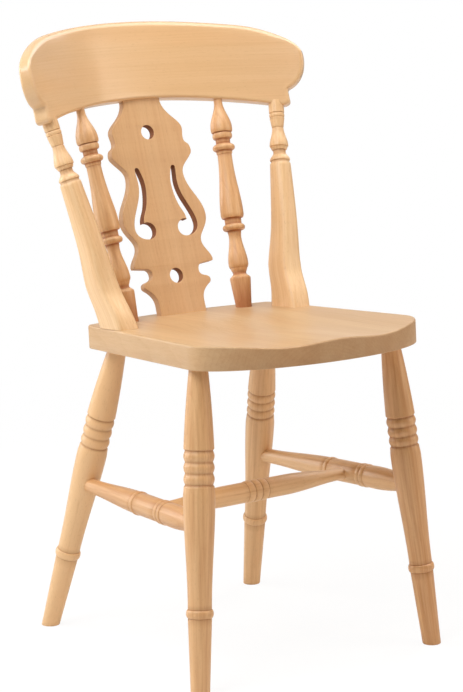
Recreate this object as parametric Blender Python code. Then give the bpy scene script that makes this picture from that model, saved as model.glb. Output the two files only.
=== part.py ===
"""Fiddleback dining chair in beech, one object for each wooden piece.

Metres, +Z up. The front of the chair faces -Y, and left and right are as seen
from the front. The feet stand on Z = 0. Turned pieces are lofts of circles along
their axis, the crest rail and the posts are lofts of other sections, and the
fiddle splat is an outline of curves that is filled and extruded.
"""

import math

import bmesh
import bpy
from mathutils import Matrix, Vector

# Clearance between a tenon and its socket, all round
FIT = 0.0003

# Run of the small groove beside a bead or ring
QUIRK = 0.0012

# Two places on a turning that are closer than this are one
SAME = 1e-7

# Seat
SEAT_HEIGHT = 0.415            # underside above the floor, at the middle of the chair
SEAT_SLOPE = 0.0429            # fall to the rear, per metre
SEAT_THICKNESS = 0.0325
SEAT_WIDTH = 0.353             # at the widest place
SEAT_WIDEST_Y = -0.152
SEAT_FRONT_BOW = 0.0928        # front edge ahead of the widest place
SEAT_TAPER = 0.024             # each side, from the widest place to the rear corners
SEAT_REAR_WIDTH = SEAT_WIDTH - 2 * SEAT_TAPER
SEAT_REAR_Y = 0.1405
SEAT_REAR_BOW = 0.018
SEAT_CORNER_RADIUS = 0.010
SEAT_EDGE_ROUND = 0.004        # along the top edge
SEAT_ARRIS = 0.001             # along the bottom edge
HOLLOW_DEPTH = 0.0085          # thigh hollows below the flat rear of the seat
HOLLOW_SPREAD = 0.150          # from one hollow to the other at the front
HOLLOW_REAR_SPREAD = 0.090     # where both run into one bowl
HOLLOW_WIDTH = 0.060
HOLLOW_REAR_Y = 0.048          # the seat is flat behind this line
HOLLOW_FULL_Y = -0.060         # and hollowed to the full depth ahead of this one
HOLLOW_LIP = 0.60              # part of the depth that is left at the front edge

# Legs, measured down the leg from the underside of the seat
FRONT_LEG_INSET = 0.0222       # in from the widest place of the seat
FRONT_LEG_SPREAD = SEAT_WIDTH - 2 * FRONT_LEG_INSET
FRONT_LEG_Y = -0.1409
FRONT_FOOT_SPLAY = 0.0358      # foot out from the top of the leg
FRONT_FOOT_SPREAD = FRONT_LEG_SPREAD + 2 * FRONT_FOOT_SPLAY
FRONT_FOOT_Y = -0.1791
REAR_LEG_INSET = 0.0297        # in from the rear corners of the seat
REAR_LEG_SPREAD = SEAT_REAR_WIDTH - 2 * REAR_LEG_INSET
REAR_LEG_Y = 0.1078
REAR_FOOT_SPLAY = 0.0514
REAR_FOOT_SPREAD = REAR_LEG_SPREAD + 2 * REAR_FOOT_SPLAY
REAR_FOOT_Y = 0.2321
LEG_TENON = 0.018
LEG_COLLAR = 0.006
LEG_TOP_DIAMETER = 0.0256
LEG_MIDDLE_DIAMETER = 0.0330  # half way to the beads
LEG_SWELL_DIAMETER = 0.0380
LEG_BEADS_START = 0.1076
LEG_BEAD_WIDTH = 0.0151
LEG_BEAD_COUNT = 3
LEG_BEAD_DIAMETER = 0.0395
LEG_GROOVE_DIAMETER = 0.0352
LEG_SHAFT_DIAMETER = 0.0382
LEG_LOW_DIAMETER = 0.0316
LEG_RING_START = 0.3095
LEG_RING_WIDTH = 0.0110
LEG_RING_DIAMETER = 0.0356
LEG_ANKLE_DIAMETER = 0.0300
LEG_FOOT_DIAMETER = 0.0228

# Side stretchers, measured from the axis of the rear leg
SIDE_FRONT_DROP = 0.2002       # down the front leg
SIDE_REAR_DROP = 0.2073        # down the rear leg
SIDE_REAR_DIAMETER = 0.0188
SIDE_FRONT_DIAMETER = 0.0236
SIDE_SWELL_DIAMETER = 0.0285
SIDE_RING_DIAMETER = 0.0305
SIDE_RING_WIDTH = 0.0065
SIDE_REAR_RING = 0.1600        # one ring behind the cross stretcher
SIDE_FRONT_RINGS = 0.2190      # and a pair ahead of it
SIDE_FRONT_RING_COUNT = 2
SIDE_STRAIGHT = 0.026          # plain end that goes into the leg

# Cross stretcher
CROSS_FROM_REAR = 0.2030       # along the side stretcher
CROSS_END_DIAMETER = 0.0166
CROSS_SWELL_DIAMETER = 0.0282
CROSS_RING_DIAMETER = 0.0304
CROSS_RING_WIDTH = 0.0110
CROSS_RING_COUNT = 3
CROSS_SWELL_FROM_MIDDLE = 0.052
CROSS_STRAIGHT = 0.018
STRETCHER_STOP = 0.002         # end of a stretcher, short of the axis it points at

# Crest rail, round in plan and leaning back as it rises
CREST_RADIUS = 0.290           # of the front face, in plan
CREST_ROUND_HALF = 0.150       # half the width that is truly round; the ends bend less
CREST_ENDS_BACK = 0.0081       # the tips stand this far behind the round
CREST_Y = 0.2195               # front face at the underside, mid span
CREST_TOP = 0.8463             # at mid span
CREST_FACE_HEIGHT = 0.1078     # from the underside to the top, at mid span
CREST_UNDERSIDE = CREST_TOP - CREST_FACE_HEIGHT
CREST_LEAN = 0.354             # back for each metre of rise
CREST_THICKNESS = 0.0221       # at the underside
CREST_TOP_THICKNESS = 0.0138
CREST_TOP_RADIUS = 1.156
CREST_END = 0.2223             # half the width
CREST_TIP_DROP = 0.0538        # tip of the rounded end, below the top
CREST_END_HEIGHT = CREST_TOP - CREST_TIP_DROP
CREST_UPPER_ROUND = 0.0710     # run of the round above the tip
CREST_SHOULDER = 2.2           # squareness of that round
CREST_LOWER_ROUND = 0.0321     # run of the round below the tip
CREST_LOWER_DROP = 0.0506
CREST_BLOCK = 0.1983           # half the width over the blocks above the posts
CREST_BLOCK_CORNER = 0.0060    # round of a block's lower corner
CREST_ARCH = 0.0191            # fall of the underside from mid span to the blocks
CREST_EDGE_ROUND = 0.0040
CREST_TOP_ROUND = 0.0090       # front of the top edge

# Back posts
POST_INSET = 0.0105            # foot in from the rear corners of the seat
POST_SPREAD = SEAT_REAR_WIDTH - 2 * POST_INSET
POST_Y = 0.073
POST_TOP_SPREAD = 0.361        # on the front face of the crest rail
POST_FOOT_WIDTH = 0.0285
POST_FOOT_DEPTH = 0.0550
ROUND = 2.0                    # squareness of an ellipse
FOOT_SQUARENESS = 8.0          # and of a rectangle with soft corners
POST_KNEE = 0.060              # above the seat, along the post
POST_KNEE_DEPTH = 0.0440
POST_KNEE_SETBACK = 0.0045
POST_SHAFT_DIAMETER = 0.0268   # where it turns round, under the neck
POST_SEAT_TENON_DIAMETER = 0.0200
POST_SEAT_TENON = 0.018
POST_CREST_TENON_DIAMETER = 0.0120
POST_CREST_TENON = 0.022
# Turned neck, measured down from the crest rail
POST_DRUM = 0.0120
POST_DRUM_DIAMETER = 0.0196
POST_BEAD_WIDTH = 0.0112
POST_BEAD_COUNT = 2
POST_BEAD_DIAMETER = 0.0190
POST_GROOVE_DIAMETER = 0.0160
POST_CUP_START = 0.0368
POST_CUP_END = 0.0648
POST_CUP_NECK_DIAMETER = 0.0146
POST_CUP_DIAMETER = 0.0242
POST_NECK = 0.0722
POST_NECK_DIAMETER = 0.0162
POST_FLARE_END = 0.0860
POST_FLARE_DIAMETER = 0.0266
POST_SHAFT_START = 0.0898

# Spindles, drawn at one length; the upper turning is measured down from the crest rail
SPINDLE_DRAWN_LENGTH = 0.3008
SPINDLE_SHARE = 0.6655         # of the distance between the posts, on the seat
SPINDLE_SPREAD = POST_SPREAD * SPINDLE_SHARE
SPINDLE_Y = 0.115
SPINDLE_TOP_SPREAD = 0.2204    # on the front face of the crest rail
SPINDLE_TENON = 0.015
SPINDLE_NECK_DIAMETER = 0.0092
SPINDLE_BUD = 0.0400
SPINDLE_BUD_DIAMETER = 0.0286
SPINDLE_BUD_END = 0.0470
SPINDLE_GROOVE_DIAMETER = 0.0240
SPINDLE_BEAD_WIDTH = 0.0085    # under the bud
SPINDLE_BEAD_DIAMETER = 0.0272
SPINDLE_UPPER_WAIST = 0.0595
SPINDLE_UPPER_WAIST_DIAMETER = 0.0182
SPINDLE_UPPER_RING = 0.0692
SPINDLE_RING_DIAMETER = 0.0300
SPINDLE_RING_WIDTH = 0.0066
SPINDLE_COLLAR_END = 0.0776    # a narrow collar under the upper ring
SPINDLE_COLLAR_DIAMETER = 0.0210
SPINDLE_SHAFT_START = 0.0800
SPINDLE_SHAFT_DIAMETER = 0.0178
# The lower turning, measured up from the seat
SPINDLE_BELLY = 0.1360
SPINDLE_BELLY_DIAMETER = 0.0310
SPINDLE_BELLY_END = 0.1275
SPINDLE_BELLY_END_DIAMETER = 0.0272
SPINDLE_LOWER_WAIST = 0.1235
SPINDLE_LOWER_WAIST_DIAMETER = 0.0212
SPINDLE_LOWER_RING = 0.1140
SPINDLE_THROAT = 0.1010
SPINDLE_THROAT_DIAMETER = 0.0152
SPINDLE_VASE = 0.0630
SPINDLE_VASE_DIAMETER = 0.0256
SPINDLE_VASE_END = 0.0560
SPINDLE_ANKLE = 0.0480
SPINDLE_ANKLE_DIAMETER = 0.0184
SPINDLE_SHOULDER = 0.0400
SPINDLE_SHOULDER_DIAMETER = 0.0270
SPINDLE_FOOT_DIAMETER = 0.0188
SPINDLE_PLAIN = 0.004          # plain ends next to the seat and the crest rail

# Splat
SPLAT_Y = 0.1320               # middle of its thickness, on the seat
SPLAT_THICKNESS = 0.0110
SPLAT_TONGUE = 0.012           # into the seat and into the crest rail
SPLAT_WIDTH = 0.135            # across the lower bout
SPLAT_BASE_WIDTH = 0.075
SPLAT_TOP_WIDTH = 0.060
SPLAT_DRAWN_WIDTH = 0.135      # the curves are drawn at this width
SPLAT_DRAWN_LENGTH = 0.3066    # and this length from seat to crest rail, as are the heights below
SPLAT_UPPER_HOLE = 0.2588
SPLAT_UPPER_HOLE_DIAMETER = 0.0204
SPLAT_LOWER_HOLE = 0.0530
SPLAT_LOWER_HOLE_DIAMETER = 0.0210

# Screws up into the posts
SCREW_LENGTH = 0.042           # under the head
SCREW_DIAMETER = 0.0050
SCREW_HEAD_DIAMETER = 0.0095
SCREW_HEAD_HEIGHT = 0.0035
SCREW_SINK = 0.0080            # depth of the counterbore in the underside
SCREW_COUNTERBORE = 0.0110

# Facets
SMOOTH_ANGLE = 35              # degrees between faces that shade as one
SEAT_FRONT_STEPS = 24
SEAT_SIDE_STEPS = 5
SEAT_CORNER_STEPS = 4
SEAT_REAR_STEPS = 8
SEAT_TOP_RINGS = 8
CREST_MIDDLE_STEPS = 11
CREST_END_STEPS = 12
CREST_BLOCK_STEPS = 3
CREST_CORNER_POINTS = 3
POST_SHAFT_STEPS = 4
LEG_SIDES = 14
TURNING_SIDES = 14
SMALL_SIDES = 12
SECTION_POINTS = 16
CURVE_STEPS = 4

# Finishes: linear colour, roughness and metallic
SEAT_BEECH = ((0.640, 0.390, 0.180), 0.36, 0.0)
TURNED_BEECH = ((0.690, 0.415, 0.192), 0.36, 0.0)
BACK_BEECH = ((0.705, 0.425, 0.204), 0.36, 0.0)
STEEL = ((0.55, 0.55, 0.56), 0.35, 1.0)

SIDES = {"left": -1.0, "right": 1.0}


def clear_scene():
    for item in list(bpy.data.objects):
        bpy.data.objects.remove(item, do_unlink=True)


def paint(name, finish):
    colour, roughness, metallic = finish
    material = bpy.data.materials.new(name)
    material.use_nodes = True
    shader = material.node_tree.nodes["Principled BSDF"]
    shader.inputs["Base Color"].default_value = (*colour, 1.0)
    shader.inputs["Roughness"].default_value = roughness
    shader.inputs["Metallic"].default_value = metallic
    return material


# Building blocks


def make_mesh(name, bm):
    bmesh.ops.recalc_face_normals(bm, faces=bm.faces[:])
    mesh = bpy.data.meshes.new(name)
    bm.to_mesh(mesh)
    bm.free()
    mesh.shade_smooth()
    mesh.set_sharp_from_angle(angle=math.radians(SMOOTH_ANGLE))
    return mesh


def add_piece(chair, name, bm, place, finish=TURNED_BEECH):
    piece = bpy.data.objects.new(name, make_mesh(name, bm))
    bpy.context.scene.collection.objects.link(piece)
    piece.parent = chair
    piece.matrix_local = place
    piece.data.materials.append(paint(name + "_finish", finish))
    return piece


def cut(piece, name, bm, place):
    """Cut a shape out of a piece; the cutter itself is only a guide."""
    cutter = bpy.data.objects.new(name, make_mesh(name, bm))
    bpy.context.scene.collection.objects.link(cutter)
    cutter.parent = piece.parent
    cutter.matrix_local = place
    cutter.hide_render = True
    cutter.display_type = "WIRE"
    socket = piece.modifiers.new(name, "BOOLEAN")
    socket.operation = "DIFFERENCE"
    socket.solver = "EXACT"
    socket.object = cutter


def loft(rings):
    """Skin a row of rings that have as many points each, and cap both ends."""
    bm = bmesh.new()
    rows = [[bm.verts.new(point) for point in ring] for ring in rings]
    for row, following in zip(rows, rows[1:]):
        for i in range(len(row)):
            j = (i + 1) % len(row)
            bm.faces.new((row[i], row[j], following[j], following[i]))
    bm.faces.new(rows[0][::-1])
    bm.faces.new(rows[-1])
    return bm


def circle(radius, height, sides):
    step = 2 * math.pi / sides
    return [Vector((radius * math.cos(i * step), radius * math.sin(i * step), height)) for i in range(sides)]


def turned(stations, sides):
    """Rings for a turning: each station is a distance along the axis and a diameter."""
    return [circle(diameter / 2, distance, sides) for distance, diameter in stations]


def cylinder(start, end, diameter, sides=TURNING_SIDES):
    """A cutter that is at least as wide as its diameter at the flats."""
    across_flats = diameter / math.cos(math.pi / sides)
    return loft(turned([(start, across_flats), (end, across_flats)], sides))


def block(width, depth, bottom, top):
    x, y = width / 2, depth / 2
    corners = [(-x, -y), (x, -y), (x, y), (-x, y)]
    return loft([[Vector((*corner, z)) for corner in corners] for z in (bottom, top)])


def aim(start, end):
    """A frame at start with its Z axis towards end."""
    turn = (end - start).to_track_quat("Z", "Y")
    return Matrix.Translation(start) @ turn.to_matrix().to_4x4()


def slide_to_plane(ring, direction, point, normal):
    """Move each point of a ring along a direction until it lies on a plane."""
    along = direction.dot(normal)
    return [p + direction * ((point - p).dot(normal) / along) for p in ring]


# Runs of a turning


def taper(start, end, first, last, steps=4):
    """A straight change of diameter."""
    run = []
    for i in range(steps + 1):
        t = i / steps
        run.append((start + (end - start) * t, first + (last - first) * t))
    return run


def swell(start, end, first, last, steps=5):
    """An S-shaped change of diameter."""
    run = []
    for i in range(steps + 1):
        t = i / steps
        run.append((start + (end - start) * t, first + (last - first) * t * t * (3 - 2 * t)))
    return run


def bulge(start, end, first, middle, last, steps=6):
    """A convex run that passes through its middle diameter half way."""
    run = []
    for i in range(steps + 1):
        t = i / steps
        straight = first + (last - first) * t
        run.append((start + (end - start) * t, straight + (middle - (first + last) / 2) * 4 * t * (1 - t)))
    return run


def bead(start, width, core, crown, steps=4):
    """A half round standing on a core."""
    run = []
    for i in range(steps + 1):
        angle = math.pi * i / steps
        along = start + width * (1 - math.cos(angle)) / 2
        run.append((along, core + (crown - core) * math.sin(angle)))
    return run


def tidy(stations):
    """Leave out a station that repeats the one before it."""
    kept = stations[:1]
    for distance, diameter in stations[1:]:
        moved = abs(distance - kept[-1][0]) > SAME
        changed = abs(diameter - kept[-1][1]) > SAME
        if moved or changed:
            kept.append((distance, diameter))
    return kept


# Places that pieces share


def seat_frame():
    """Frame of the underside of the seat, Z square to the seat."""
    tilt = Matrix.Rotation(-math.atan(SEAT_SLOPE), 4, "X")
    return Matrix.Translation((0, 0, SEAT_HEIGHT)) @ tilt


def on_underside(x, y):
    return seat_frame() @ Vector((x, y, 0))


def on_seat(x, y):
    return seat_frame() @ Vector((x, y, SEAT_THICKNESS))


def seat_normal():
    return seat_frame().to_3x3() @ Vector((0, 0, 1))


def crest_underside(x):
    """Height of the underside between the blocks, x on the front face."""
    return CREST_UNDERSIDE - CREST_ARCH * (x / CREST_BLOCK) ** 2


def crest_thickness(height):
    """The rail thins evenly from the underside at mid span to the top."""
    share = (height - CREST_UNDERSIDE) / (CREST_TOP - CREST_UNDERSIDE)
    return CREST_THICKNESS + (CREST_TOP_THICKNESS - CREST_THICKNESS) * min(max(share, 0.0), 1.0)


def crest_point(x, height, depth):
    """Point of the crest rail: x and height on the front face, depth square to it."""
    run = CREST_END - CREST_ROUND_HALF
    past = max(abs(x) - CREST_ROUND_HALF, 0.0) / run
    bow = math.sqrt(CREST_RADIUS ** 2 - x ** 2)
    lean = CREST_LEAN * (height - CREST_UNDERSIDE)
    face = Vector((x, CREST_Y - CREST_RADIUS + bow + CREST_ENDS_BACK * past ** 2 + lean, height))
    slope = math.copysign(2 * CREST_ENDS_BACK * past / run, x) - x / bow
    return face + Vector((-slope, 1, -CREST_LEAN)).normalized() * depth


def crest_seat(x):
    """Where a member meets the underside of the crest rail, half way through it."""
    return crest_point(x, crest_underside(x), CREST_THICKNESS / 2)


def crest_underside_normal(x):
    """Square to the underside, which falls away from mid span and to the rear."""
    along = crest_seat(x + FIT) - crest_seat(x - FIT)
    height = crest_underside(x)
    through = crest_point(x, height, CREST_THICKNESS) - crest_point(x, height, 0)
    return along.cross(through).normalized()


# Seat


def seat_outline():
    """Half-ellipse front, straight sides, round rear corners and a bowed rear."""
    half, rear = SEAT_WIDTH / 2, SEAT_REAR_WIDTH / 2
    points = []
    for i in range(SEAT_FRONT_STEPS + 1):
        angle = math.pi * i / SEAT_FRONT_STEPS
        points.append((-half * math.cos(angle), SEAT_WIDEST_Y - SEAT_FRONT_BOW * math.sin(angle)))
    corner = Vector((rear - SEAT_CORNER_RADIUS, SEAT_REAR_Y - SEAT_CORNER_RADIUS))
    right_side = []
    for i in range(1, SEAT_SIDE_STEPS):
        t = i / SEAT_SIDE_STEPS
        right_side.append((half + (rear - half) * t, SEAT_WIDEST_Y + (corner.y - SEAT_WIDEST_Y) * t))
    points += right_side
    right_corner = []
    for i in range(SEAT_CORNER_STEPS + 1):
        angle = math.pi / 2 * i / SEAT_CORNER_STEPS
        right_corner.append(tuple(corner + SEAT_CORNER_RADIUS * Vector((math.cos(angle), math.sin(angle)))))
    points += right_corner
    for i in range(1, SEAT_REAR_STEPS):
        x = corner.x * (1 - 2 * i / SEAT_REAR_STEPS)
        points.append((x, SEAT_REAR_Y + SEAT_REAR_BOW * (1 - (x / corner.x) ** 2)))
    points += [(-x, y) for x, y in reversed(right_side + right_corner)]
    return [Vector(point) for point in points]


def smooth(value, low, high):
    t = min(max((value - low) / (high - low), 0.0), 1.0)
    return t * t * (3 - 2 * t)


def hollow(x, y):
    """Depth of the saddling: two round troughs that run into one bowl at the rear."""
    front_y = SEAT_WIDEST_Y - SEAT_FRONT_BOW
    ahead = smooth(-y, -HOLLOW_REAR_Y, -HOLLOW_FULL_Y)
    lip = 1 - (1 - HOLLOW_LIP) * smooth(-y, -HOLLOW_FULL_Y, -front_y)
    apart = HOLLOW_REAR_SPREAD + (HOLLOW_SPREAD - HOLLOW_REAR_SPREAD) * smooth(-y, 0.0, -front_y)
    troughs = sum(math.exp(-((x - side * apart / 2) / HOLLOW_WIDTH) ** 2) for side in SIDES.values())
    return HOLLOW_DEPTH * ahead * lip * min(troughs, 1.0)


def build_seat(chair):
    outline = seat_outline()
    centre = Vector((0, (SEAT_WIDEST_Y + SEAT_REAR_Y) / 2))
    count = len(outline)
    normals = []
    for i in range(count):
        along = outline[(i + 1) % count] - outline[i - 1]
        normals.append(Vector((along.y, -along.x)).normalized())

    def ring(inset, height, top):
        points = []
        for edge, outward in zip(outline, normals):
            p = edge - outward * inset
            z = SEAT_THICKNESS - hollow(p.x, p.y) - height if top else height
            points.append(Vector((p.x, p.y, z)))
        return points

    def inner_ring(share):
        points = []
        for edge in outline:
            p = centre + (edge - centre) * share
            points.append(Vector((p.x, p.y, SEAT_THICKNESS - hollow(p.x, p.y))))
        return points

    arc = 1 - math.sqrt(0.5)
    rings = [
        ring(SEAT_ARRIS, 0, False),
        ring(0, SEAT_ARRIS, False),
        ring(0, SEAT_EDGE_ROUND, True),
        ring(SEAT_EDGE_ROUND * arc, SEAT_EDGE_ROUND * arc, True),
        ring(SEAT_EDGE_ROUND, 0, True),
    ]
    rings += [inner_ring(1 - i / (SEAT_TOP_RINGS + 0.5)) for i in range(1, SEAT_TOP_RINGS + 1)]
    return add_piece(chair, "seat", loft(rings), seat_frame(), SEAT_BEECH)


# Legs and stretchers


def leg_stations():
    stations = [(-LEG_TENON, LEG_TOP_DIAMETER)]
    stations += bulge(LEG_COLLAR, LEG_BEADS_START - QUIRK,
                      LEG_TOP_DIAMETER, LEG_MIDDLE_DIAMETER, LEG_SWELL_DIAMETER, 4)
    for i in range(LEG_BEAD_COUNT):
        start = LEG_BEADS_START + i * LEG_BEAD_WIDTH
        stations += bead(start, LEG_BEAD_WIDTH, LEG_GROOVE_DIAMETER, LEG_BEAD_DIAMETER)
    beads_end = LEG_BEADS_START + LEG_BEAD_COUNT * LEG_BEAD_WIDTH
    stations += taper(beads_end + QUIRK, LEG_RING_START, LEG_SHAFT_DIAMETER, LEG_LOW_DIAMETER)
    stations += bead(LEG_RING_START, LEG_RING_WIDTH, LEG_LOW_DIAMETER, LEG_RING_DIAMETER)
    stations.append((LEG_RING_START + LEG_RING_WIDTH + QUIRK, LEG_ANKLE_DIAMETER))
    return tidy(stations)


def build_leg(chair, seat, name, top, foot):
    place = aim(top, foot)
    floor = place.inverted() @ Vector((0, 0, 0))
    floor_normal = place.inverted().to_3x3() @ Vector((0, 0, 1))
    length = (foot - top).length
    rings = turned(leg_stations(), LEG_SIDES)
    sole = circle(LEG_FOOT_DIAMETER / 2, length, LEG_SIDES)
    rings.append(slide_to_plane(sole, Vector((0, 0, 1)), floor, floor_normal))
    leg = add_piece(chair, name, loft(rings), place)
    socket = cylinder(-LEG_TENON - FIT, 2 * LEG_COLLAR, LEG_TOP_DIAMETER + 2 * FIT, LEG_SIDES)
    cut(seat, name + "_socket", socket, place)
    return leg


def down_leg(top, foot, drop):
    return top + (foot - top).normalized() * drop


def side_stretcher_stations(length):
    stations = [(STRETCHER_STOP, SIDE_REAR_DIAMETER)]
    stations += swell(SIDE_STRAIGHT, SIDE_REAR_RING, SIDE_REAR_DIAMETER, SIDE_SWELL_DIAMETER)
    stations += bead(SIDE_REAR_RING, SIDE_RING_WIDTH, SIDE_SWELL_DIAMETER, SIDE_RING_DIAMETER)
    for i in range(SIDE_FRONT_RING_COUNT):
        start = SIDE_FRONT_RINGS + i * SIDE_RING_WIDTH
        stations += bead(start, SIDE_RING_WIDTH, SIDE_SWELL_DIAMETER, SIDE_RING_DIAMETER)
    rings_end = SIDE_FRONT_RINGS + SIDE_FRONT_RING_COUNT * SIDE_RING_WIDTH
    stations += swell(rings_end, length - SIDE_STRAIGHT, SIDE_SWELL_DIAMETER, SIDE_FRONT_DIAMETER)
    stations.append((length - STRETCHER_STOP, SIDE_FRONT_DIAMETER))
    return tidy(stations)


def cross_stretcher_stations(length):
    """One half out from the middle, then its mirror image."""
    middle = length / 2
    half_rings = CROSS_RING_COUNT * CROSS_RING_WIDTH / 2
    core = CROSS_SWELL_DIAMETER - QUIRK
    stations = [(STRETCHER_STOP, CROSS_END_DIAMETER)]
    stations += swell(CROSS_STRAIGHT, middle - CROSS_SWELL_FROM_MIDDLE,
                      CROSS_END_DIAMETER, CROSS_SWELL_DIAMETER)
    stations.append((middle - half_rings - QUIRK, CROSS_SWELL_DIAMETER))
    other_end = [(length - distance, diameter) for distance, diameter in reversed(stations)]
    for i in range(CROSS_RING_COUNT):
        start = middle - half_rings + i * CROSS_RING_WIDTH
        stations += bead(start, CROSS_RING_WIDTH, core, CROSS_RING_DIAMETER)
    return tidy(stations + other_end)


def build_base(chair, seat):
    """Four legs, two side stretchers and the cross stretcher between them."""
    cross_ends = {}
    side_pieces = {}
    for side, sign in SIDES.items():
        front_top = on_underside(sign * FRONT_LEG_SPREAD / 2, FRONT_LEG_Y)
        front_foot = Vector((sign * FRONT_FOOT_SPREAD / 2, FRONT_FOOT_Y, 0))
        rear_top = on_underside(sign * REAR_LEG_SPREAD / 2, REAR_LEG_Y)
        rear_foot = Vector((sign * REAR_FOOT_SPREAD / 2, REAR_FOOT_Y, 0))
        front_leg = build_leg(chair, seat, f"front_{side}_leg", front_top, front_foot)
        rear_leg = build_leg(chair, seat, f"rear_{side}_leg", rear_top, rear_foot)

        rear = down_leg(rear_top, rear_foot, SIDE_REAR_DROP)
        front = down_leg(front_top, front_foot, SIDE_FRONT_DROP)
        length = (front - rear).length
        place = aim(rear, front)
        name = f"{side}_side_stretcher"
        stations = side_stretcher_stations(length)
        side_pieces[side] = add_piece(chair, name, loft(turned(stations, TURNING_SIDES)), place)
        reach = LEG_SHAFT_DIAMETER
        rear_socket = cylinder(STRETCHER_STOP - FIT, reach, SIDE_REAR_DIAMETER + 2 * FIT)
        cut(rear_leg, name + "_rear_socket", rear_socket, place)
        front_socket = cylinder(length - reach, length - STRETCHER_STOP + FIT, SIDE_FRONT_DIAMETER + 2 * FIT)
        cut(front_leg, name + "_front_socket", front_socket, place)
        cross_ends[side] = rear + (front - rear).normalized() * CROSS_FROM_REAR

    start, end = cross_ends["left"], cross_ends["right"]
    length = (end - start).length
    place = aim(start, end)
    stations = cross_stretcher_stations(length)
    add_piece(chair, "cross_stretcher", loft(turned(stations, TURNING_SIDES)), place)
    reach = SIDE_RING_DIAMETER
    ends = {"left": (STRETCHER_STOP - FIT, reach), "right": (length - reach, length - STRETCHER_STOP + FIT)}
    for side, (low, high) in ends.items():
        socket = cylinder(low, high, CROSS_END_DIAMETER + 2 * FIT)
        cut(side_pieces[side], f"cross_{side}_socket", socket, place)


# Back


def crest_top(x):
    crown = CREST_TOP - CREST_TOP_RADIUS + math.sqrt(CREST_TOP_RADIUS ** 2 - x ** 2)
    past = max(abs(x) - (CREST_END - CREST_UPPER_ROUND), 0.0) / CREST_UPPER_ROUND
    fall = crown - CREST_END_HEIGHT
    return crown - fall * (1 - max(1 - past ** CREST_SHOULDER, 0.0) ** (1 / CREST_SHOULDER))


def crest_bottom(x):
    """Arched underside with a round corner at each block, then the lower round of the end."""
    past = max(abs(x) - (CREST_END - CREST_LOWER_ROUND), 0.0) / CREST_LOWER_ROUND
    if abs(x) > CREST_BLOCK + FIT:
        return CREST_END_HEIGHT - CREST_LOWER_DROP * math.sqrt(max(1 - past ** 2, 0.0))
    over = max(abs(x) - (CREST_BLOCK - CREST_BLOCK_CORNER), 0.0)
    corner = CREST_BLOCK_CORNER - math.sqrt(max(CREST_BLOCK_CORNER ** 2 - over ** 2, 0.0))
    return crest_underside(x) + corner


def crest_columns():
    """Places along the front face: even across the middle, closer round each end."""
    straight = CREST_END - CREST_UPPER_ROUND
    columns = [straight * i / CREST_MIDDLE_STEPS for i in range(CREST_MIDDLE_STEPS + 1)]
    for i in range(1, CREST_END_STEPS):
        columns.append(straight + CREST_UPPER_ROUND * math.sin(math.pi / 2 * i / CREST_END_STEPS))
    for i in range(CREST_BLOCK_STEPS + 1):
        inward = CREST_BLOCK_CORNER * (1 - math.sin(math.pi / 2 * i / CREST_BLOCK_STEPS))
        columns.append(CREST_BLOCK - inward)
    columns.append(CREST_BLOCK + 2 * FIT)
    columns = sorted(columns)
    return [-x for x in reversed(columns[1:])] + columns


def build_crest(chair):
    rings = []
    for x in crest_columns():
        bottom, top = crest_bottom(x), crest_top(x)
        edge = min(CREST_EDGE_ROUND, (top - bottom) / 3)
        front = min(CREST_TOP_ROUND, (top - bottom) / 3)
        corners = [(crest_thickness(top) - edge, top - edge, edge, 0),
                   (front, top - front, front, 90),
                   (edge, bottom + edge, edge, 180),
                   (crest_thickness(bottom) - edge, bottom + edge, edge, 270)]
        ring = []
        for depth, height, radius, first in corners:
            for i in range(CREST_CORNER_POINTS):
                angle = math.radians(first + 90 * i / (CREST_CORNER_POINTS - 1))
                across, rise = radius * math.cos(angle), radius * math.sin(angle)
                ring.append(crest_point(x, height + rise, depth + across))
        rings.append(ring)
    return add_piece(chair, "crest_rail", loft(rings), Matrix.Identity(4), BACK_BEECH)


def oval(centre, across, along, width, depth, squareness):
    """A ring between an ellipse and a rectangle; more squareness, sharper corners."""
    ring = []
    for i in range(SECTION_POINTS):
        angle = 2 * math.pi * i / SECTION_POINTS
        c, s = math.cos(angle), math.sin(angle)
        x = math.copysign(abs(c) ** (ROUND / squareness), c) * width / 2
        y = math.copysign(abs(s) ** (ROUND / squareness), s) * depth / 2
        ring.append(centre + across * x + along * y)
    return ring


def post_neck_stations():
    stations = [(POST_DRUM, POST_DRUM_DIAMETER)]
    for i in range(POST_BEAD_COUNT):
        start = POST_DRUM + QUIRK + i * POST_BEAD_WIDTH
        stations += bead(start, POST_BEAD_WIDTH, POST_GROOVE_DIAMETER, POST_BEAD_DIAMETER)
    stations += swell(POST_CUP_START, POST_CUP_END - QUIRK, POST_CUP_NECK_DIAMETER, POST_CUP_DIAMETER, 4)
    stations.append((POST_CUP_END, POST_CUP_DIAMETER - 2 * QUIRK))
    stations.append((POST_CUP_END + QUIRK, POST_NECK_DIAMETER + 2 * QUIRK))
    stations += swell(POST_NECK, POST_FLARE_END, POST_NECK_DIAMETER, POST_FLARE_DIAMETER, 3)
    stations.append((POST_FLARE_END + QUIRK, POST_FLARE_DIAMETER - 2 * QUIRK))
    return tidy(stations)


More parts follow.
